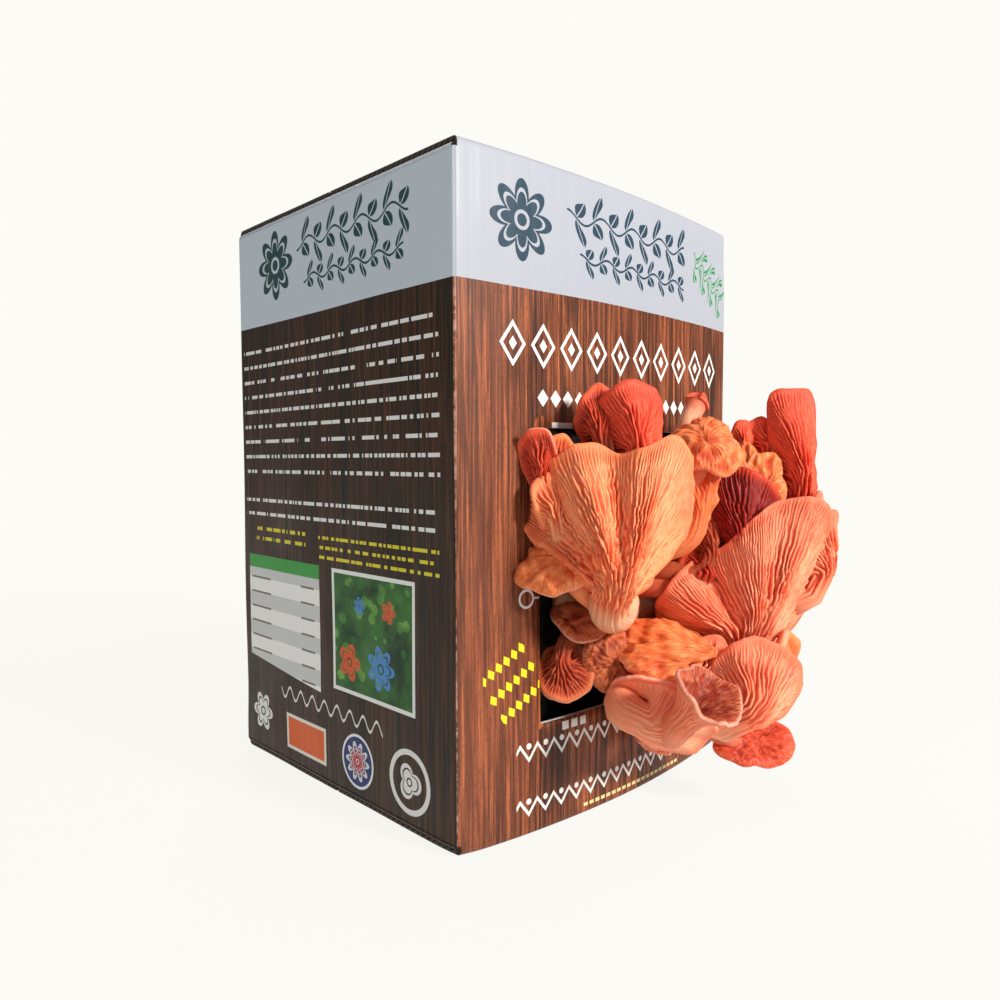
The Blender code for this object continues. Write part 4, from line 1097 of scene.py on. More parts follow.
def badges(paint, u, v, colour):
    """A framed orange panel beside a round blue badge with a flower."""
    sign = paint.rectangle(u, v, -36, -5.6, 8.6, 23.4)
    inner = paint.rectangle(u, v, -34.6, -7, 10, 22)
    colour = paint.blend(sign, colour, srgb(222, 214, 200))
    colour = paint.blend(inner, colour, srgb(214, 92, 34))
    colour = paint.blend(paint.disc(u, v, 16, 16.5, 10.2), colour, srgb(226, 226, 230))
    colour = paint.blend(paint.disc(u, v, 16, 16.5, 9.2), colour, srgb(36, 52, 104))
    colour = paint.blend(petals(paint, u, v, 16, 16.5, 7.6, 10), colour, srgb(214, 206, 208))
    return paint.blend(petals(paint, u, v, 16, 16.5, 4.6, 10), colour, srgb(176, 44, 50))


def wood_print(paint, u, v, colours):
    """Upright planks: fine grain in broad streaks, with dark gaps."""
    wood, dark, light = tuple(colours.wood), tuple(colours.wood_dark), tuple(colours.wood_light)
    broad = streaks(paint, u, v, 0.085, 0.006, 0.0, 3.0, 0.6, 0.3)
    grain = streaks(paint, u, v, 0.75, 0.016, 4.0, 4.0, 0.7, 0.5)
    fine = streaks(paint, u, v, 2.6, 0.05, 9.0, 3.0, 0.7)
    pores = streaks(paint, u, v, 3.4, 0.5, 5.0, 2.0, 0.6)
    knots = streaks(paint, u, v, 0.05, 0.02, 2.0, 2.0, 0.5)
    colour = paint.blend(paint.stretch(broad, 0.34, 0.6), dark, wood)
    colour = paint.blend(paint.stretch(grain, 0.48, 0.7), colour, light)
    colour = paint.blend(paint.stretch(grain, 0.47, 0.33), colour, dark)
    colour = paint.blend(paint.stretch(fine, 0.49, 0.66, 0.0, 0.8), colour, dark)
    colour = paint.blend(paint.stretch(pores, 0.52, 0.7, 0.0, 0.6), colour, srgb(40, 22, 16))
    colour = paint.blend(paint.stretch(knots, 0.56, 0.74, 0.0, 0.6), colour, dark)
    gap = paint.near(paint.repeat(paint.plus(u, 3.0), 44.0), 0.0, 0.5)
    return paint.blend(paint.times(gap, 0.75), colour, srgb(28, 16, 14))


def streaks(paint, u, v, across, along, seed, detail, rough, bend=0.0):
    """Long streaks: many of them to a millimetre across the grain and few along it."""
    spot = paint.join(paint.times(u, across), paint.times(v, along), seed)
    return paint.noise(spot, 1.0, detail, rough, bend)


def band_print(paint, u, z, wide, narrow, colours):
    """The pale band at the top with its emblems and garlands."""
    slate, sprig = wide_band(paint, u, z)
    tone = paint.noise(paint.place(), 60.0, 3.0, 0.6)
    band = paint.blend(paint.stretch(tone, 0.35, 0.7, 0.0, 0.12), tuple(colours.band), srgb(146, 152, 168))
    # Painted light: the band is paler on the left and right sides than on the front and back, lifting the
    # side that the lamps leave in shade.
    band = paint.blend(narrow, band, srgb(190, 198, 206))
    emblems = paint.either(paint.both(wide, slate), paint.both(narrow, narrow_band(paint, u, z)))
    band = paint.blend(emblems, band, paint.blend(wide, srgb(36, 68, 66), tuple(colours.emblem)))
    return paint.blend(paint.both(wide, sprig), band, srgb(22, 126, 58))


def print_material(colours):
    """Printed face of the carton. It runs from side to side as one strip: left, front, right and back."""
    paint = Paint("Printed board", roughness=0.42, specular_ior_level=0.2)
    x, y, z = millimetres(paint)
    nx, ny, nz = paint.split(paint.facing())
    wide = paint.above(paint.size(ny), paint.size(nx))
    narrow = paint.minus(1.0, wide)
    front = paint.both(wide, paint.below(ny, 0.0))
    back = paint.both(wide, paint.above(ny, 0.0))
    turn_x = paint.calc("SIGN", nx)
    u_wide = paint.times(x, paint.times(paint.calc("SIGN", ny), -1.0))
    u = paint.plus(paint.both(wide, u_wide), paint.both(narrow, paint.times(y, turn_x)))

    side = paint.calc("MULTIPLY_ADD", back, 31.0, paint.times(wide, 57.0))
    colour = wood_print(paint, paint.plus(u, paint.calc("MULTIPLY_ADD", turn_x, 13.0, side)), z, colours)
    faded = paint.both(wide, paint.stretch(x, -50, -80, 0.0, 0.14))
    colour = paint.blend(faded, colour, srgb(170, 106, 84))
    # Painted shade: the wood of the left and right sides is darkened towards green-black, as on the side
    # turned away from the key lamp.
    colour = paint.blend(paint.times(narrow, 0.76), colour, srgb(13, 24, 15))

    front_light, front_yellow = front_print(paint, u, z)
    narrow_light, narrow_yellow = narrow_print(paint, u, z)
    back_light = paint.both(back, back_print(paint, u, z))
    light = paint.either(paint.both(front, front_light), paint.both(narrow, narrow_light), back_light)
    yellow = paint.either(paint.both(front, front_yellow), paint.both(narrow, narrow_yellow))
    small = paint.both(paint.rectangle(u, z, -26, 35, 3.0, 4.3), paint.near(paint.repeat(u, 3.1), 0, 1.1))
    colour = paint.blend(light, colour, tuple(colours.lettering))
    colour = paint.blend(yellow, colour, tuple(colours.accent))
    colour = paint.blend(paint.both(wide, small), colour, srgb(206, 190, 130))
    pictures = badges(paint, u, z, meadow_picture(paint, u, z, card_table(paint, u, z, colour)))
    colour = paint.blend(narrow, colour, pictures)
    level = paint.calc("MULTIPLY_ADD", paint.noise(paint.place(), 18.0), 0.6, BAND_FOOT - 0.3)
    on_band = paint.above(z, level)
    colour = paint.blend(on_band, colour, band_print(paint, u, z, wide, narrow, colours))

    edge_x = paint.minus(BOX_WIDTH / 2 - 0.7, paint.size(x))
    edge_y = paint.minus(BOX_DEPTH / 2 - 0.7, paint.size(y))
    upright = paint.both(paint.below(edge_x, 0.0), paint.below(edge_y, 0.0))
    worn = paint.stretch(paint.noise(paint.place(), 330.0, 3.0, 0.7), 0.42, 0.62, 0.1, 0.65)
    colour = paint.blend(paint.both(upright, worn, paint.minus(1.0, on_band)), colour, srgb(206, 158, 140))
    height = paint.noise(paint.join(paint.times(u, 0.21), paint.times(z, 0.004), side), 1.0, 1.0)
    paint.rise(height, 0.0006, 0.5)
    return paint.finish(colour, paint.stretch(paint.noise(paint.place(), 40.0), 0.3, 0.7, 0.36, 0.52))


def plain_board_material():
    """Brown unprinted side of the board, with the faint ribs of its flutes."""
    paint = Paint("Inside of the board", roughness=0.85)
    x, y, z = millimetres(paint)
    fibres = paint.noise(paint.place(), 420.0, 4.0, 0.7)
    blots = paint.noise(paint.place(), 30.0, 2.0)
    colour = paint.blend(fibres, srgb(150, 112, 76), srgb(196, 160, 118))
    colour = paint.blend(paint.stretch(blots, 0.4, 0.7, 0.0, 0.35), colour, srgb(128, 92, 62))
    along = paint.plus(x, y)
    ribs = paint.calc("SINE", paint.times(along, math.tau / 3.2))
    paint.rise(paint.plus(ribs, fibres), 0.00015, 0.5)
    return paint.finish(colour)


def cut_edge_material():
    """Cut edge of the board: two pale liners with the fluted paper between them, with painted shade in its
    hollows. Away from the window the edge is kraft brown darkened with painted shade.
    """
    paint = Paint("Cut edge of the board", roughness=0.9)
    x, y, z = millimetres(paint)
    run = paint.plus(paint.plus(x, paint.times(y, 1.03)), z)
    flute = paint.calc("SINE", paint.times(run, math.tau / 2.9))
    fibres = paint.noise(paint.place(), 900.0, 3.0, 0.7)
    hollow = paint.stretch(paint.calc("MULTIPLY_ADD", fibres, 0.8, flute), 0.3, 1.1)
    # Painted shade: away from the window the edge is darkened to deep brown, and darker still in the flute
    # hollows.
    folded = paint.blend(fibres, srgb(56, 46, 36), srgb(84, 68, 52))
    folded = paint.blend(hollow, folded, srgb(26, 22, 18))
    cut = paint.blend(fibres, srgb(206, 206, 204), srgb(232, 232, 230))
    # Painted shade, fainter, in the flute hollows of the pale edge at the window.
    cut = paint.blend(paint.times(hollow, 0.35), cut, srgb(120, 112, 104))
    window = paint.both(paint.between(z, WINDOW_BOTTOM - 2, WINDOW_TOP + 2), paint.below(y, -60.0))
    colour = paint.blend(window, folded, cut)
    paint.rise(paint.minus(fibres, hollow), 0.0004, 0.7)
    return paint.finish(colour)


def film_material(colours):
    paint = Paint("Bag film", roughness=0.24, coat_weight=0.25, coat_roughness=0.12)
    dust = paint.noise(paint.place(), 55.0, 4.0, 0.7)
    colour = paint.blend(paint.stretch(dust, 0.45, 0.75, 0.0, 0.5), tuple(colours.film), srgb(44, 52, 44))
    creases = paint.noise(paint.place(), 120.0, 3.0, 0.6, 0.8)
    paint.rise(creases, 0.0006, 0.6)
    return paint.finish(colour, paint.stretch(dust, 0.3, 0.7, 0.16, 0.42))


def block_material(colours):
    """Sawdust and straw grown through with white threads."""
    paint = Paint("Straw block", roughness=0.95)
    x, y, z = paint.split(paint.place())
    chips = paint.add("TexVoronoi", paint.join(paint.times(x, 0.45), y, paint.times(z, 1.6)))
    chips.inputs["Scale"].default_value = 260.0
    tone = paint.split(chips.outputs["Color"])[0]
    colour = paint.blend(tone, srgb(104, 78, 50), tuple(colours.straw))
    threads = paint.noise(paint.place(), 38.0, 5.0, 0.65, 0.6)
    colour = paint.blend(paint.stretch(threads, 0.36, 0.58), colour, srgb(232, 226, 214))
    paint.rise(paint.plus(chips.outputs["Distance"], threads), 0.0016, 0.8)
    return paint.finish(colour)


def clump_material():
    """Pale, felted flesh, painted darker brown as shade for where it lies behind the caps, with painted shade
    in the hollows of its lumps.
    """
    paint = Paint("Stem flesh", roughness=0.7, subsurface_weight=0.15, subsurface_scale=0.003)
    felt = paint.noise(paint.place(), 700.0, 4.0, 0.7)
    blots = paint.noise(paint.place(), 60.0, 3.0, 0.6)
    # Painted shade: these browns stand in for the shade behind the caps, and are darkest in the sunken blots.
    colour = paint.blend(paint.stretch(blots, 0.35, 0.65), srgb(128, 66, 40), srgb(196, 132, 92))
    colour = paint.blend(paint.stretch(felt, 0.5, 0.8, 0.0, 0.4), colour, srgb(222, 178, 140))
    paint.rise(paint.plus(felt, blots), 0.0005, 0.7)
    return paint.finish(colour)


# Colours of each kind of flesh: edge of the gills, painted shade in the gaps between them, strip along the
# rim, top side, stem
FLESH = {
    "peach": dict(
        label="Peach flesh", crest=srgb(255, 162, 110), deep=srgb(220, 66, 32), patch=srgb(250, 120, 72),
        rim=srgb(234, 100, 56), top=srgb(238, 130, 86), stem=srgb(232, 184, 150)),
    "salmon": dict(
        label="Salmon flesh", crest=srgb(255, 160, 120), deep=srgb(212, 66, 42), patch=srgb(250, 122, 82),
        rim=srgb(230, 84, 52), top=srgb(246, 130, 98), stem=srgb(240, 178, 142)),
    "salmon_cup": dict(
        label="Cup flesh", crest=srgb(244, 132, 94), deep=srgb(176, 52, 28), patch=srgb(200, 80, 50),
        rim=srgb(214, 116, 76), top=srgb(136, 44, 26), stem=srgb(240, 178, 142)),
    "salmon_red": dict(
        label="Red salmon flesh", crest=srgb(244, 94, 60), deep=srgb(184, 30, 16), patch=srgb(222, 60, 36),
        rim=srgb(212, 56, 30), top=srgb(228, 88, 56), stem=srgb(236, 160, 122)),
    "orange_red": dict(
        label="Red orange flesh", crest=srgb(240, 120, 70), deep=srgb(166, 28, 12), patch=srgb(206, 54, 26),
        rim=srgb(244, 150, 92), top=srgb(236, 118, 62), stem=srgb(240, 180, 140)),
    "crimson": dict(
        label="Crimson flesh", crest=srgb(218, 76, 42), deep=srgb(130, 18, 10), patch=srgb(180, 38, 20),
        rim=srgb(230, 98, 58), top=srgb(218, 80, 46), stem=srgb(236, 170, 132)),
    # Painted shade: a darker copy of the crimson flesh, for a fan that lies in shade behind the others.
    "crimson_dark": dict(
        label="Shaded crimson flesh", crest=srgb(168, 24, 8), deep=srgb(88, 4, 1), patch=srgb(136, 12, 3),
        rim=srgb(206, 66, 30), top=srgb(190, 58, 34), stem=srgb(206, 120, 88)),
    "orange": dict(
        label="Orange flesh", crest=srgb(236, 122, 66), deep=srgb(176, 40, 16), patch=srgb(210, 70, 30),
        rim=srgb(240, 146, 88), top=srgb(232, 118, 58), stem=srgb(232, 168, 120)),
    # Painted shade: a darker copy of the orange flesh, for caps that lie in shade.
    "orange_brown": dict(
        label="Shaded orange flesh", crest=srgb(192, 80, 42), deep=srgb(122, 24, 10), patch=srgb(160, 50, 22),
        rim=srgb(202, 112, 64), top=srgb(176, 82, 42), stem=srgb(166, 96, 62)),
}


def flesh_material(label, crest, deep, patch, rim, top, stem):
    """Flesh with paler gill edges, painted shade (the deep colour) in gaps and hollows, a strip along the rim
    and a pale stem.
    """
    paint = Paint(
        label, roughness=0.52, specular_ior_level=0.22, subsurface_weight=0.12, subsurface_scale=0.0018,
        subsurface_radius=(1.0, 0.3, 0.15))
    look = paint.split(paint.add("Attribute", attribute_name="flesh_look").outputs["Vector"])
    run = paint.split(paint.add("Attribute", attribute_name="flesh_run").outputs["Vector"])
    gap, share, side = look
    across, along, on_stem = run
    place = paint.place()
    patches = paint.noise(place, 46.0, 2.0, 0.5)
    mottle = paint.noise(place, 210.0, 3.0, 0.6)
    threads = paint.noise(
        paint.join(paint.times(across, 2.4), paint.times(along, 0.32), side), 1.0, 2.0, 0.6)
    body = paint.blend(paint.stretch(patches, 0.44, 0.66, 0.0, 0.75), crest, patch)
    # Painted shade: the deep colour fills the gaps between the gills.
    under = paint.blend(paint.stretch(gap, 0.2, 1.0, 0.0, 0.88), body, deep)
    over = paint.blend(paint.stretch(patches, 0.4, 0.68, 0.0, 0.6), top, patch)
    over = paint.blend(paint.stretch(mottle, 0.5, 0.72, 0.0, 0.35), over, crest)
    # Painted shade: the deep colour in the hollows of the top side.
    over = paint.blend(paint.stretch(gap, 0.35, 1.0, 0.0, 0.75), over, deep)
    ridges = paint.both(paint.stretch(gap, 0.3, 0.0), paint.stretch(threads, 0.4, 0.62))
    over = paint.blend(ridges, over, rim)
    colour = paint.blend(paint.stretch(side, 0.2, 0.6), under, over)
    strip = paint.both(paint.stretch(share, 0.9, 0.975), paint.stretch(side, 0.5, 0.2))
    colour = paint.blend(paint.times(strip, 0.55), colour, rim)
    edge = paint.both(paint.stretch(side, 0.2, 0.4), paint.stretch(side, 0.9, 0.6))
    lighter = paint.blend(0.45, crest, (1.0, 0.86, 0.74))
    colour = paint.blend(paint.times(edge, 0.5), colour, lighter)
    pale = paint.both(on_stem, paint.stretch(mottle, 0.25, 0.6, 0.45, 1.0))
    colour = paint.blend(pale, colour, stem)
    streak = paint.times(paint.stretch(threads, 0.5, 0.78), paint.stretch(side, 0.2, 0.6, 0.1, 0.28))
    colour = paint.blend(streak, colour, lighter)
    paint.rise(paint.plus(threads, paint.times(mottle, 0.6)), 0.00035, 0.6)
    return paint.finish(colour, paint.stretch(mottle, 0.35, 0.65, 0.42, 0.6))


def place_piece(name, mesh, nodes):
    obj = bpy.data.objects.new(name, mesh)
    bpy.context.scene.collection.objects.link(obj)
    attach(obj, "root")
    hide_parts(*nodes)
    return obj


def rounded_block(low, high, corner, cuts):
    """A closed cuboid with rounded edges and a fine net of points."""
    work = bmesh.new()
    bmesh.ops.create_cube(work, size=2)
    bmesh.ops.subdivide_edges(work, edges=work.edges[:], cuts=cuts, use_grid_fill=True)
    low, high = np.array(low, float), np.array(high, float)
    half = (high - low) / 2
    points = np.array([v.co for v in work.verts]) * half
    core = np.clip(points, corner - half, half - corner)
    outward = unit(points - core)
    flat = np.abs(points - core).max(axis=1) < 1e-6
    outward[flat] = unit(points[flat])
    points = core + outward * corner + (low + high) / 2
    return work, points, outward


def mesh_of(work, name, points):
    for vert, point in zip(work.verts, points):
        vert.co = Vector(point) * MM
    bmesh.ops.recalc_face_normals(work, faces=work.faces)
    mesh = bpy.data.meshes.new(name)
    work.to_mesh(mesh)
    work.free()
    mesh.shade_smooth()
    return mesh


def bow_out(x, z):
    rise = z / BOX_HEIGHT
    return (BULGE_BOTTOM + (BULGE_TOP - BULGE_BOTTOM) * rise) * (1 - (2 * x / BOX_WIDTH) ** 2)


def carton_outline():
    """Points round the walls, seen from above, and the side that the stretch after each belongs to."""
    radius = FOLD_RADIUS
    wide, deep = BOX_WIDTH / 2 - radius, BOX_DEPTH / 2 - radius
    across = np.unique(np.round(np.concatenate([
        np.linspace(-wide, -WINDOW_HALF_WIDTH, 9), np.linspace(-WINDOW_HALF_WIDTH, WINDOW_HALF_WIDTH, 25),
        np.linspace(WINDOW_HALF_WIDTH, wide, 9), (BESIDE_FOLD - wide, wide - BESIDE_FOLD)]), 4))
    down = np.insert(np.linspace(-deep, deep, 27), (1, 26), (BESIDE_FOLD - deep, deep - BESIDE_FOLD))
    points, sides = [], []

    def corner(x, y, start):
        for step in range(1, 5):
            angle = math.radians(start + step * 18)
            points.append((x + radius * math.cos(angle), y + radius * math.sin(angle)))
            sides.append("corner")

    for row, side in ((across, "front"), (down, "right"), (across[::-1], "back"), (down[::-1], "left")):
        for place, value in enumerate(row):
            points.append({
                "front": (value, -deep - radius), "right": (wide + radius, value),
                "back": (value, deep + radius), "left": (-wide - radius, value),
            }[side])
            sides.append(side if place < len(row) - 1 else "corner")
        corner(*{"front": (wide, -deep, 270), "right": (wide, deep, 0),
                 "back": (-wide, deep, 90), "left": (-wide, -deep, 180)}[side])
    return np.array(points), sides


def board_spot(outline, place, side, z, inward=0.0, bowed=1.0):
    """A point of the board, this far in from the wall and with this share of the front's bow."""
    x, y = outline[place % len(outline)]
    if side in ("front", "back"):
        y = y + inward * (1 if side == "front" else -1)
    elif side in ("left", "right"):
        x = x + inward * (1 if side == "left" else -1)
    bow = bow_out(x, z) * (y < -BOX_DEPTH / 2 + 2.5 or side == "front") * bowed
    return (x, y - max(bow, 0), z)


def flap_rows(outer):
    """Rows of a flap past its fold: how far in from the wall, and how far below the carton's end."""
    bend = np.radians((0, 22.5, 45, 67.5, 90))
    fold = [(BOARD * (1 - math.cos(a)), BOARD * (1 - math.sin(a))) for a in bend]
    reach = BOX_DEPTH / 2 - FLAP_SEAM / 2 if outer else INNER_FLAP
    flat = [(value, 0.0) for value in (BOARD + BESIDE_FOLD, *np.linspace(BOARD, reach, 14)[1:])]
    drop = 0.0 if outer else BOARD
    return [(inward, below + drop) for inward, below in fold + flat]


def add_flap(work, outline, run, wall, side, at_top):
    """Folds one flap in from the end row of its wall."""
    before = [wall[place % len(outline)] for place in run]
    for inward, below in flap_rows(side in ("front", "back")):
        z = BOX_HEIGHT - below if at_top else below
        bowed = 1 - min(inward / (BOX_DEPTH / 2), 1)
        now = [work.verts.new(board_spot(outline, place, side, z, inward, bowed)) for place in run]
        for one, other, new_one, new_other in zip(before, before[1:], now, now[1:]):
            face = (one, other, new_other, new_one)
            work.faces.new(face if at_top else face[::-1])
        before = now


def worn_board(points, sizes):
    """The board's points with the slight warp of its walls and lids and one crushed corner."""
    warp = sizes.board_warp / MM
    wall = ease(points[:, 2], 8, 30) * ease(BOX_HEIGHT - points[:, 2], 8, 30)
    outward = points * (1, 1, 0)
    points = points + unit(outward) * (warp * wall * waves(points, 42.0, 21))[:, None]
    lids = (points[:, 2] > BOX_HEIGHT - 2) | (points[:, 2] < 2)
    sunk = np.where(lids, 0.4 * warp * np.abs(waves(points, 30.0, 23)), 0)
    points[:, 2] -= sunk * np.sign(points[:, 2] - 50)
    corner = np.array((-BOX_WIDTH / 2, -BOX_DEPTH / 2, 0))
    away = np.linalg.norm((points - corner) * (1, 1, 0.5), axis=1)
    push = sizes.crushed_corner / MM * np.exp(-((away / 5.5) ** 2))
    return points + push[:, None] * unit(-corner + (0, 0, 60))


def carton_mesh(sizes):
    """Folded board: four walls, and at both ends inner flaps under outer ones that meet midway."""
    outline, sides = carton_outline()
    count = len(outline)
    ends = (2 * BOARD + BESIDE_FOLD, BOX_HEIGHT - 2 * BOARD - BESIDE_FOLD)
    rows = np.unique(np.round(np.concatenate([
        np.linspace(BOARD, WINDOW_BOTTOM, 12), np.linspace(WINDOW_BOTTOM, WINDOW_TOP, 19),
        np.linspace(WINDOW_TOP, BOX_HEIGHT - 2 * BOARD, 17), ends]), 4))
    rows[0] = 2 * BOARD
    work = bmesh.new()
    grid = [[work.verts.new(board_spot(outline, place, "wall", z)) for place in range(count)] for z in rows]
    for low, high, z_low, z_high in zip(grid, grid[1:], rows, rows[1:]):
        beside_window = WINDOW_BOTTOM < (z_low + z_high) / 2 < WINDOW_TOP
        for place in range(count):
            after = (place + 1) % count
            x = (outline[place][0] + outline[after][0]) / 2
            if not (beside_window and sides[place] == "front" and abs(x) < WINDOW_HALF_WIDTH):
                work.faces.new((low[place], low[after], high[after], high[place]))
    for side in ("front", "right", "back", "left"):
        run = [place for place in range(count) if sides[place] == side]
        run.append(run[-1] + 1)
        add_flap(work, outline, run, grid[-1], side, True)
        add_flap(work, outline, run, grid[0], side, False)
    return mesh_of(work, "carton", worn_board(np.array([v.co for v in work.verts]), sizes))


# Background of the photo
BACKDROP = srgb(252, 251, 246)
FLOOR_RADIUS = 3.0

# Studio lamps: name, degrees to the right of straight ahead and up, distance, size, watts, colour
LAMPS_LOOK_AT = (0, -0.05, 0.1)
LAMPS = (
    ("key_light", 9, 26, 1.3, 0.24, 24.0, (1.0, 0.965, 0.91)),
    ("fill_light", -75, 30, 1.4, 0.9, 1.6, (0.9, 0.95, 1.0)),
    ("back_light", 160, 45, 1.4, 0.8, 6.0, (1.0, 0.98, 0.95)),
)


def pale_floor(scene):
    ring = np.linspace(0, math.tau, 64, endpoint=False)
    edge = [(FLOOR_RADIUS * math.cos(a), FLOOR_RADIUS * math.sin(a), -0.0004) for a in ring]
    mesh = bpy.data.meshes.new("floor")
    mesh.from_pydata(edge, [], [tuple(range(len(edge)))])
    floor = bpy.data.objects.new("floor", mesh)
    scene.collection.objects.link(floor)
    paint = Paint("Pale floor", roughness=0.9, specular_ior_level=0.0)
    x, y, z = paint.split(paint.place())
    far = paint.stretch(paint.distance(x, y, 0.0, 0.0), 0.1, 0.8, 0.92, 1.0)
    glow = paint.shader.inputs
    paint.feed(glow["Base Color"], paint.blend(far, (0.82, 0.815, 0.79), (0.0, 0.0, 0.0)))
    paint.feed(glow["Emission Color"], BACKDROP)
    paint.feed(glow["Emission Strength"], far)
    mesh.materials.append(paint.material)


def studio_world(scene):
    """Faint, even light from all sides, and the pale backdrop that the camera sees."""
    world = bpy.data.worlds.new("studio")
    world.use_nodes = True
    nodes, links = world.node_tree.nodes, world.node_tree.links
    soft = nodes["Background"]
    soft.inputs["Color"].default_value = (0.93, 0.96, 1.0, 1)
    soft.inputs["Strength"].default_value = 0.29
    seen = nodes.new("ShaderNodeBackground")
    seen.inputs["Color"].default_value = (*BACKDROP, 1)
    mix, path = nodes.new("ShaderNodeMixShader"), nodes.new("ShaderNodeLightPath")
    links.new(path.outputs["Is Camera Ray"], mix.inputs[0])
    links.new(soft.outputs[0], mix.inputs[1])
    links.new(seen.outputs[0], mix.inputs[2])
    links.new(mix.outputs[0], nodes["World Output"].inputs["Surface"])
    scene.world = world


def studio_lamp(scene, name, azimuth, lift, away, size, power, colour):
    """A round soft lamp that looks at the cluster from this far away."""
    lamp = bpy.data.lights.new(name, "AREA")
    lamp.shape = "DISK"
    lamp.size, lamp.energy, lamp.color = size, power, colour
    turn, up = math.radians(azimuth), math.radians(lift)
    out = Vector((math.sin(turn) * math.cos(up), -math.cos(turn) * math.cos(up), math.sin(up)))
    obj = bpy.data.objects.new(name, lamp)
    obj.location = Vector(LAMPS_LOOK_AT) + out * away
    obj.rotation_euler = (-out).to_track_quat("-Z", "Y").to_euler()
    scene.collection.objects.link(obj)


def photo_camera(scene):
    """The camera where the photo was taken from."""
    camera = bpy.data.objects.new("camera", bpy.data.cameras.new("camera"))
    yaw, pitch, roll = (math.radians(a) for a in (CAMERA_TURN, CAMERA_LIFT, CAMERA_ROLL))
    look = Vector((math.sin(yaw) * math.cos(pitch), math.cos(yaw) * math.cos(pitch), math.sin(pitch)))
    turned = look.to_track_quat("-Z", "Y").to_matrix() @ Matrix.Rotation(roll, 3, "Z")
    camera.location = CAMERA_PLACE
    camera.rotation_euler = turned.to_euler()
    camera.data.lens = CAMERA_LENS
    camera.data.clip_start = 0.01
    scene.collection.objects.link(camera)
    scene.camera = camera


class KitOperator(bpy.types.Operator):
    bl_options = {"REGISTER", "UNDO"}

    @classmethod
    def poll(cls, context):
        return hasattr(context.scene, "grow_kit_sizes")


class GROWKIT_OT_stage(KitOperator):
    """Set up the pale floor, the soft studio light and the camera"""

    bl_idname = "growkit.stage"
    bl_label = "Stage"

    def execute(self, context):
        scene = context.scene
        scene.view_settings.view_transform = "Standard"
        pale_floor(scene)
        studio_world(scene)
        for lamp in LAMPS:
            studio_lamp(scene, *lamp)
        photo_camera(scene)
        return {"FINISHED"}


class GROWKIT_OT_carton(KitOperator):
    """Fold the printed carton, with its window and its flaps glued down"""

    bl_idname = "growkit.carton"
    bl_label = "Carton"

    def execute(self, context):
        mesh = carton_mesh(context.scene.grow_kit_sizes)
        mesh.materials.append(print_material(context.scene.grow_kit_colours))
        mesh.materials.append(plain_board_material())
        mesh.materials.append(cut_edge_material())
        carton = place_piece("carton", mesh, ["box"])
        board = carton.modifiers.new("board", "SOLIDIFY")
        board.thickness = BOARD * MM
        board.offset = -1
        board.material_offset = 1
        board.material_offset_rim = 2
        return {"FINISHED"}


class GROWKIT_OT_block(KitOperator):
    """Press the straw block that the fungus has grown through"""

    bl_idname = "growkit.block"
    bl_label = "Straw block"

    def execute(self, context):
        low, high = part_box("substrate_block")
        low, high = np.array(low) / MM, np.array(high) / MM
        work, points, outward = rounded_block(low, high, 7.0, 34)
        lumps = 0.45 * waves(points, 9.0, 31) + 0.25 * waves(points, 3.0, 32) - 0.9
        points = points + outward * np.minimum(lumps, 0)[:, None]
        mesh = mesh_of(work, "straw_block", points)
        mesh.materials.append(block_material(context.scene.grow_kit_colours))
        place_piece("straw_block", mesh, ["substrate_block"])
        return {"FINISHED"}


class GROWKIT_OT_bag(KitOperator):
    """Draw the black film tight round the block, with its top rolled flat"""

    bl_idname = "growkit.bag"
    bl_label = "Grow bag"

    def execute(self, context):
        height = context.scene.grow_kit_sizes.bag_wrinkles / MM
        work, points, outward = rounded_block(BAG_LOW, BAG_HIGH, BAG_CORNER, 46)
        drag = points * (1, 1, 0.55)
        creases = 0.9 - np.abs(waves(drag, 15.0, 41)) - 0.35 * np.abs(waves(points, 6.0, 42))
        points = points + outward * (height * np.clip(creases, -0.4, 1))[:, None]
        wrinkled = mesh_of(work, "film", points)
        long, high, wide = BAG_FOLD
        foot = BAG_HIGH[2] - 0.5
        work, points, outward = rounded_block(
            (-long / 2, -wide / 2, foot), (long / 2, wide / 2, foot + high), 2.4, 24)
        points = points + outward * (0.5 * waves(points * (0.4, 2, 2), 7.0, 43))[:, None]
        rolled = mesh_of(work, "film_roll", points)
        work = bmesh.new()
        work.from_mesh(wrinkled)
        work.from_mesh(rolled)
        mesh = bpy.data.meshes.new("film_bag")
        work.to_mesh(mesh)
        work.free()
        mesh.materials.append(film_material(context.scene.grow_kit_colours))
        place_piece("film_bag", mesh, ["grow_bag"])
        return {"FINISHED"}


class GROWKIT_OT_clump(KitOperator):
    """Grow the lumpy mass that the stems share in front of the block"""

    bl_idname = "growkit.clump"
    bl_label = "Stem clump"

    def execute(self, context):
        height = context.scene.grow_kit_sizes.clump_lumps / MM
        work = bmesh.new()
        bmesh.ops.create_icosphere(work, subdivisions=6, radius=1)
        outward = np.array([v.co for v in work.verts])
        points = outward * CLUMP_RADII + CLUMP_CENTRE
        lumps = height * (waves(points, 8.0, 51) + 0.4 * waves(points, 2.6, 52))
        points = points + outward * lumps[:, None]
        points[:, 1] = np.minimum(points[:, 1], CLUMP_BACK)
        mesh = mesh_of(work, "clump", points)
        mesh.materials.append(clump_material())
        place_piece("clump", mesh, ["stem_clump"])
        return {"FINISHED"}


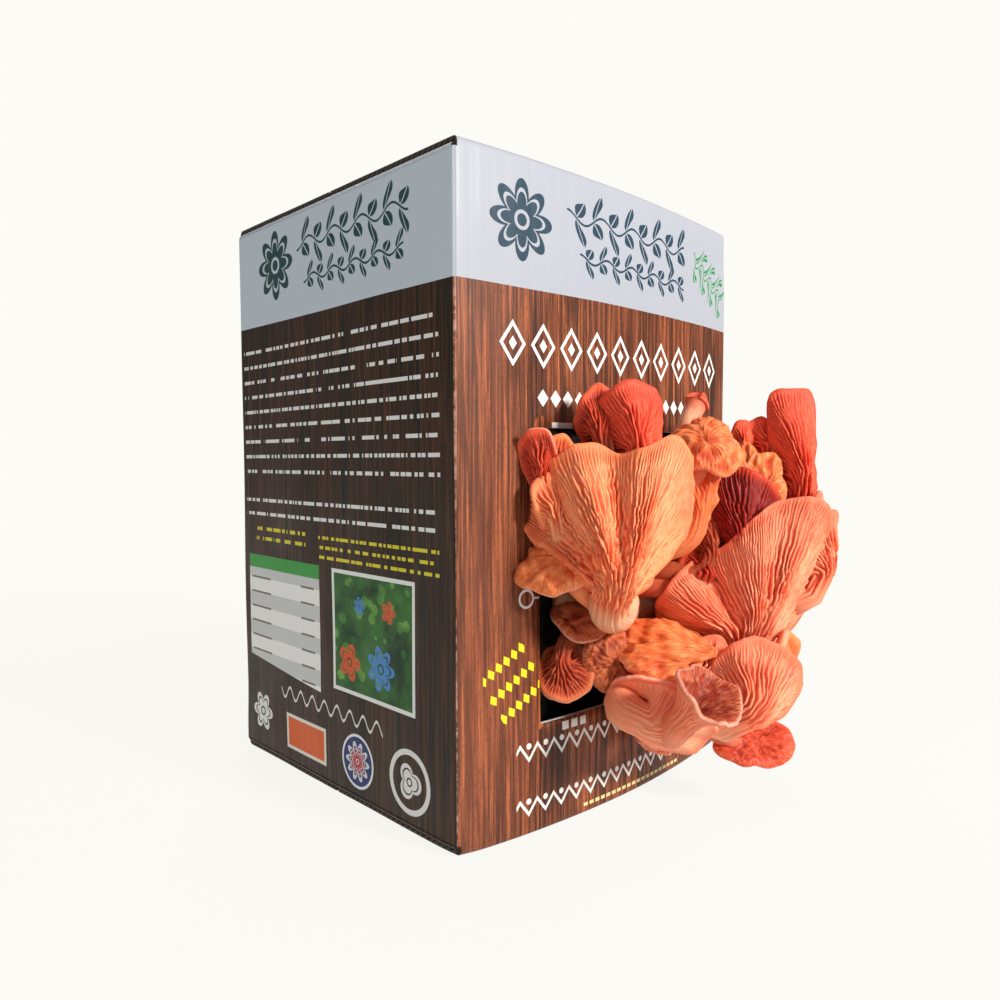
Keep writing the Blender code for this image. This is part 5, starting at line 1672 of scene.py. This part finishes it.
class GROWKIT_OT_fruit_bodies(KitOperator):
    """Grow every oyster mushroom: stem, gills, rim and top side in one skin"""

    bl_idname = "growkit.fruit_bodies"
    bl_label = "Oyster mushrooms"

    def execute(self, context):
        sizes = context.scene.grow_kit_sizes
        flesh = {kind: flesh_material(**colours) for kind, colours in FLESH.items()}
        for number, shape in enumerate(MUSHROOMS):
            look = PLAIN | LOOKS[shape["name"]]
            node = "mushroom_" + shape["name"]
            grid, crown, seen, grain = fruit_surface(shape, look, sizes, 100 + 20 * number)
            mesh = skin_mesh(node, np.array(shape["root"], float), grid, crown, seen, grain)
            mesh.materials.append(flesh[look["flesh"]])
            slot = look["slot"] or "flesh_" + look["flesh"].split("_")[0]
            place_piece("oyster_" + shape["name"], mesh, [node])
        return {"FINISHED"}


class GROWKIT_PT_sidebar(bpy.types.Panel):
    bl_idname = "GROWKIT_PT_sidebar"
    bl_label = "Mushroom grow kit"
    bl_space_type = "VIEW_3D"
    bl_region_type = "UI"
    bl_category = "Grow kit"

    def draw(self, context):
        for operator in OPERATORS:
            self.layout.operator(operator.bl_idname)
        for group in (context.scene.grow_kit_sizes, context.scene.grow_kit_colours):
            box = self.layout.box()
            for label in group.bl_rna.properties.keys():
                if label not in ("rna_type", "name"):
                    box.prop(group, label)


OPERATORS = (
    GROWKIT_OT_stage, GROWKIT_OT_carton, GROWKIT_OT_block, GROWKIT_OT_bag, GROWKIT_OT_clump,
    GROWKIT_OT_fruit_bodies,
)
CLASSES = (GrowKitSizes, GrowKitColours, *OPERATORS, GROWKIT_PT_sidebar)


def register():
    for cls in CLASSES:
        bpy.utils.register_class(cls)
    bpy.types.Scene.grow_kit_sizes = PointerProperty(type=GrowKitSizes)
    bpy.types.Scene.grow_kit_colours = PointerProperty(type=GrowKitColours)


def unregister():
    del bpy.types.Scene.grow_kit_sizes, bpy.types.Scene.grow_kit_colours
    for cls in reversed(CLASSES):
        bpy.utils.unregister_class(cls)


def main():
    register()
    bpy.ops.growkit.stage()
    bpy.ops.growkit.carton()
    bpy.ops.growkit.block()
    bpy.ops.growkit.bag()
    bpy.ops.growkit.clump()
    bpy.ops.growkit.fruit_bodies()
    bpy.context.view_layer.update()


if __name__ == "__main__":
    main()
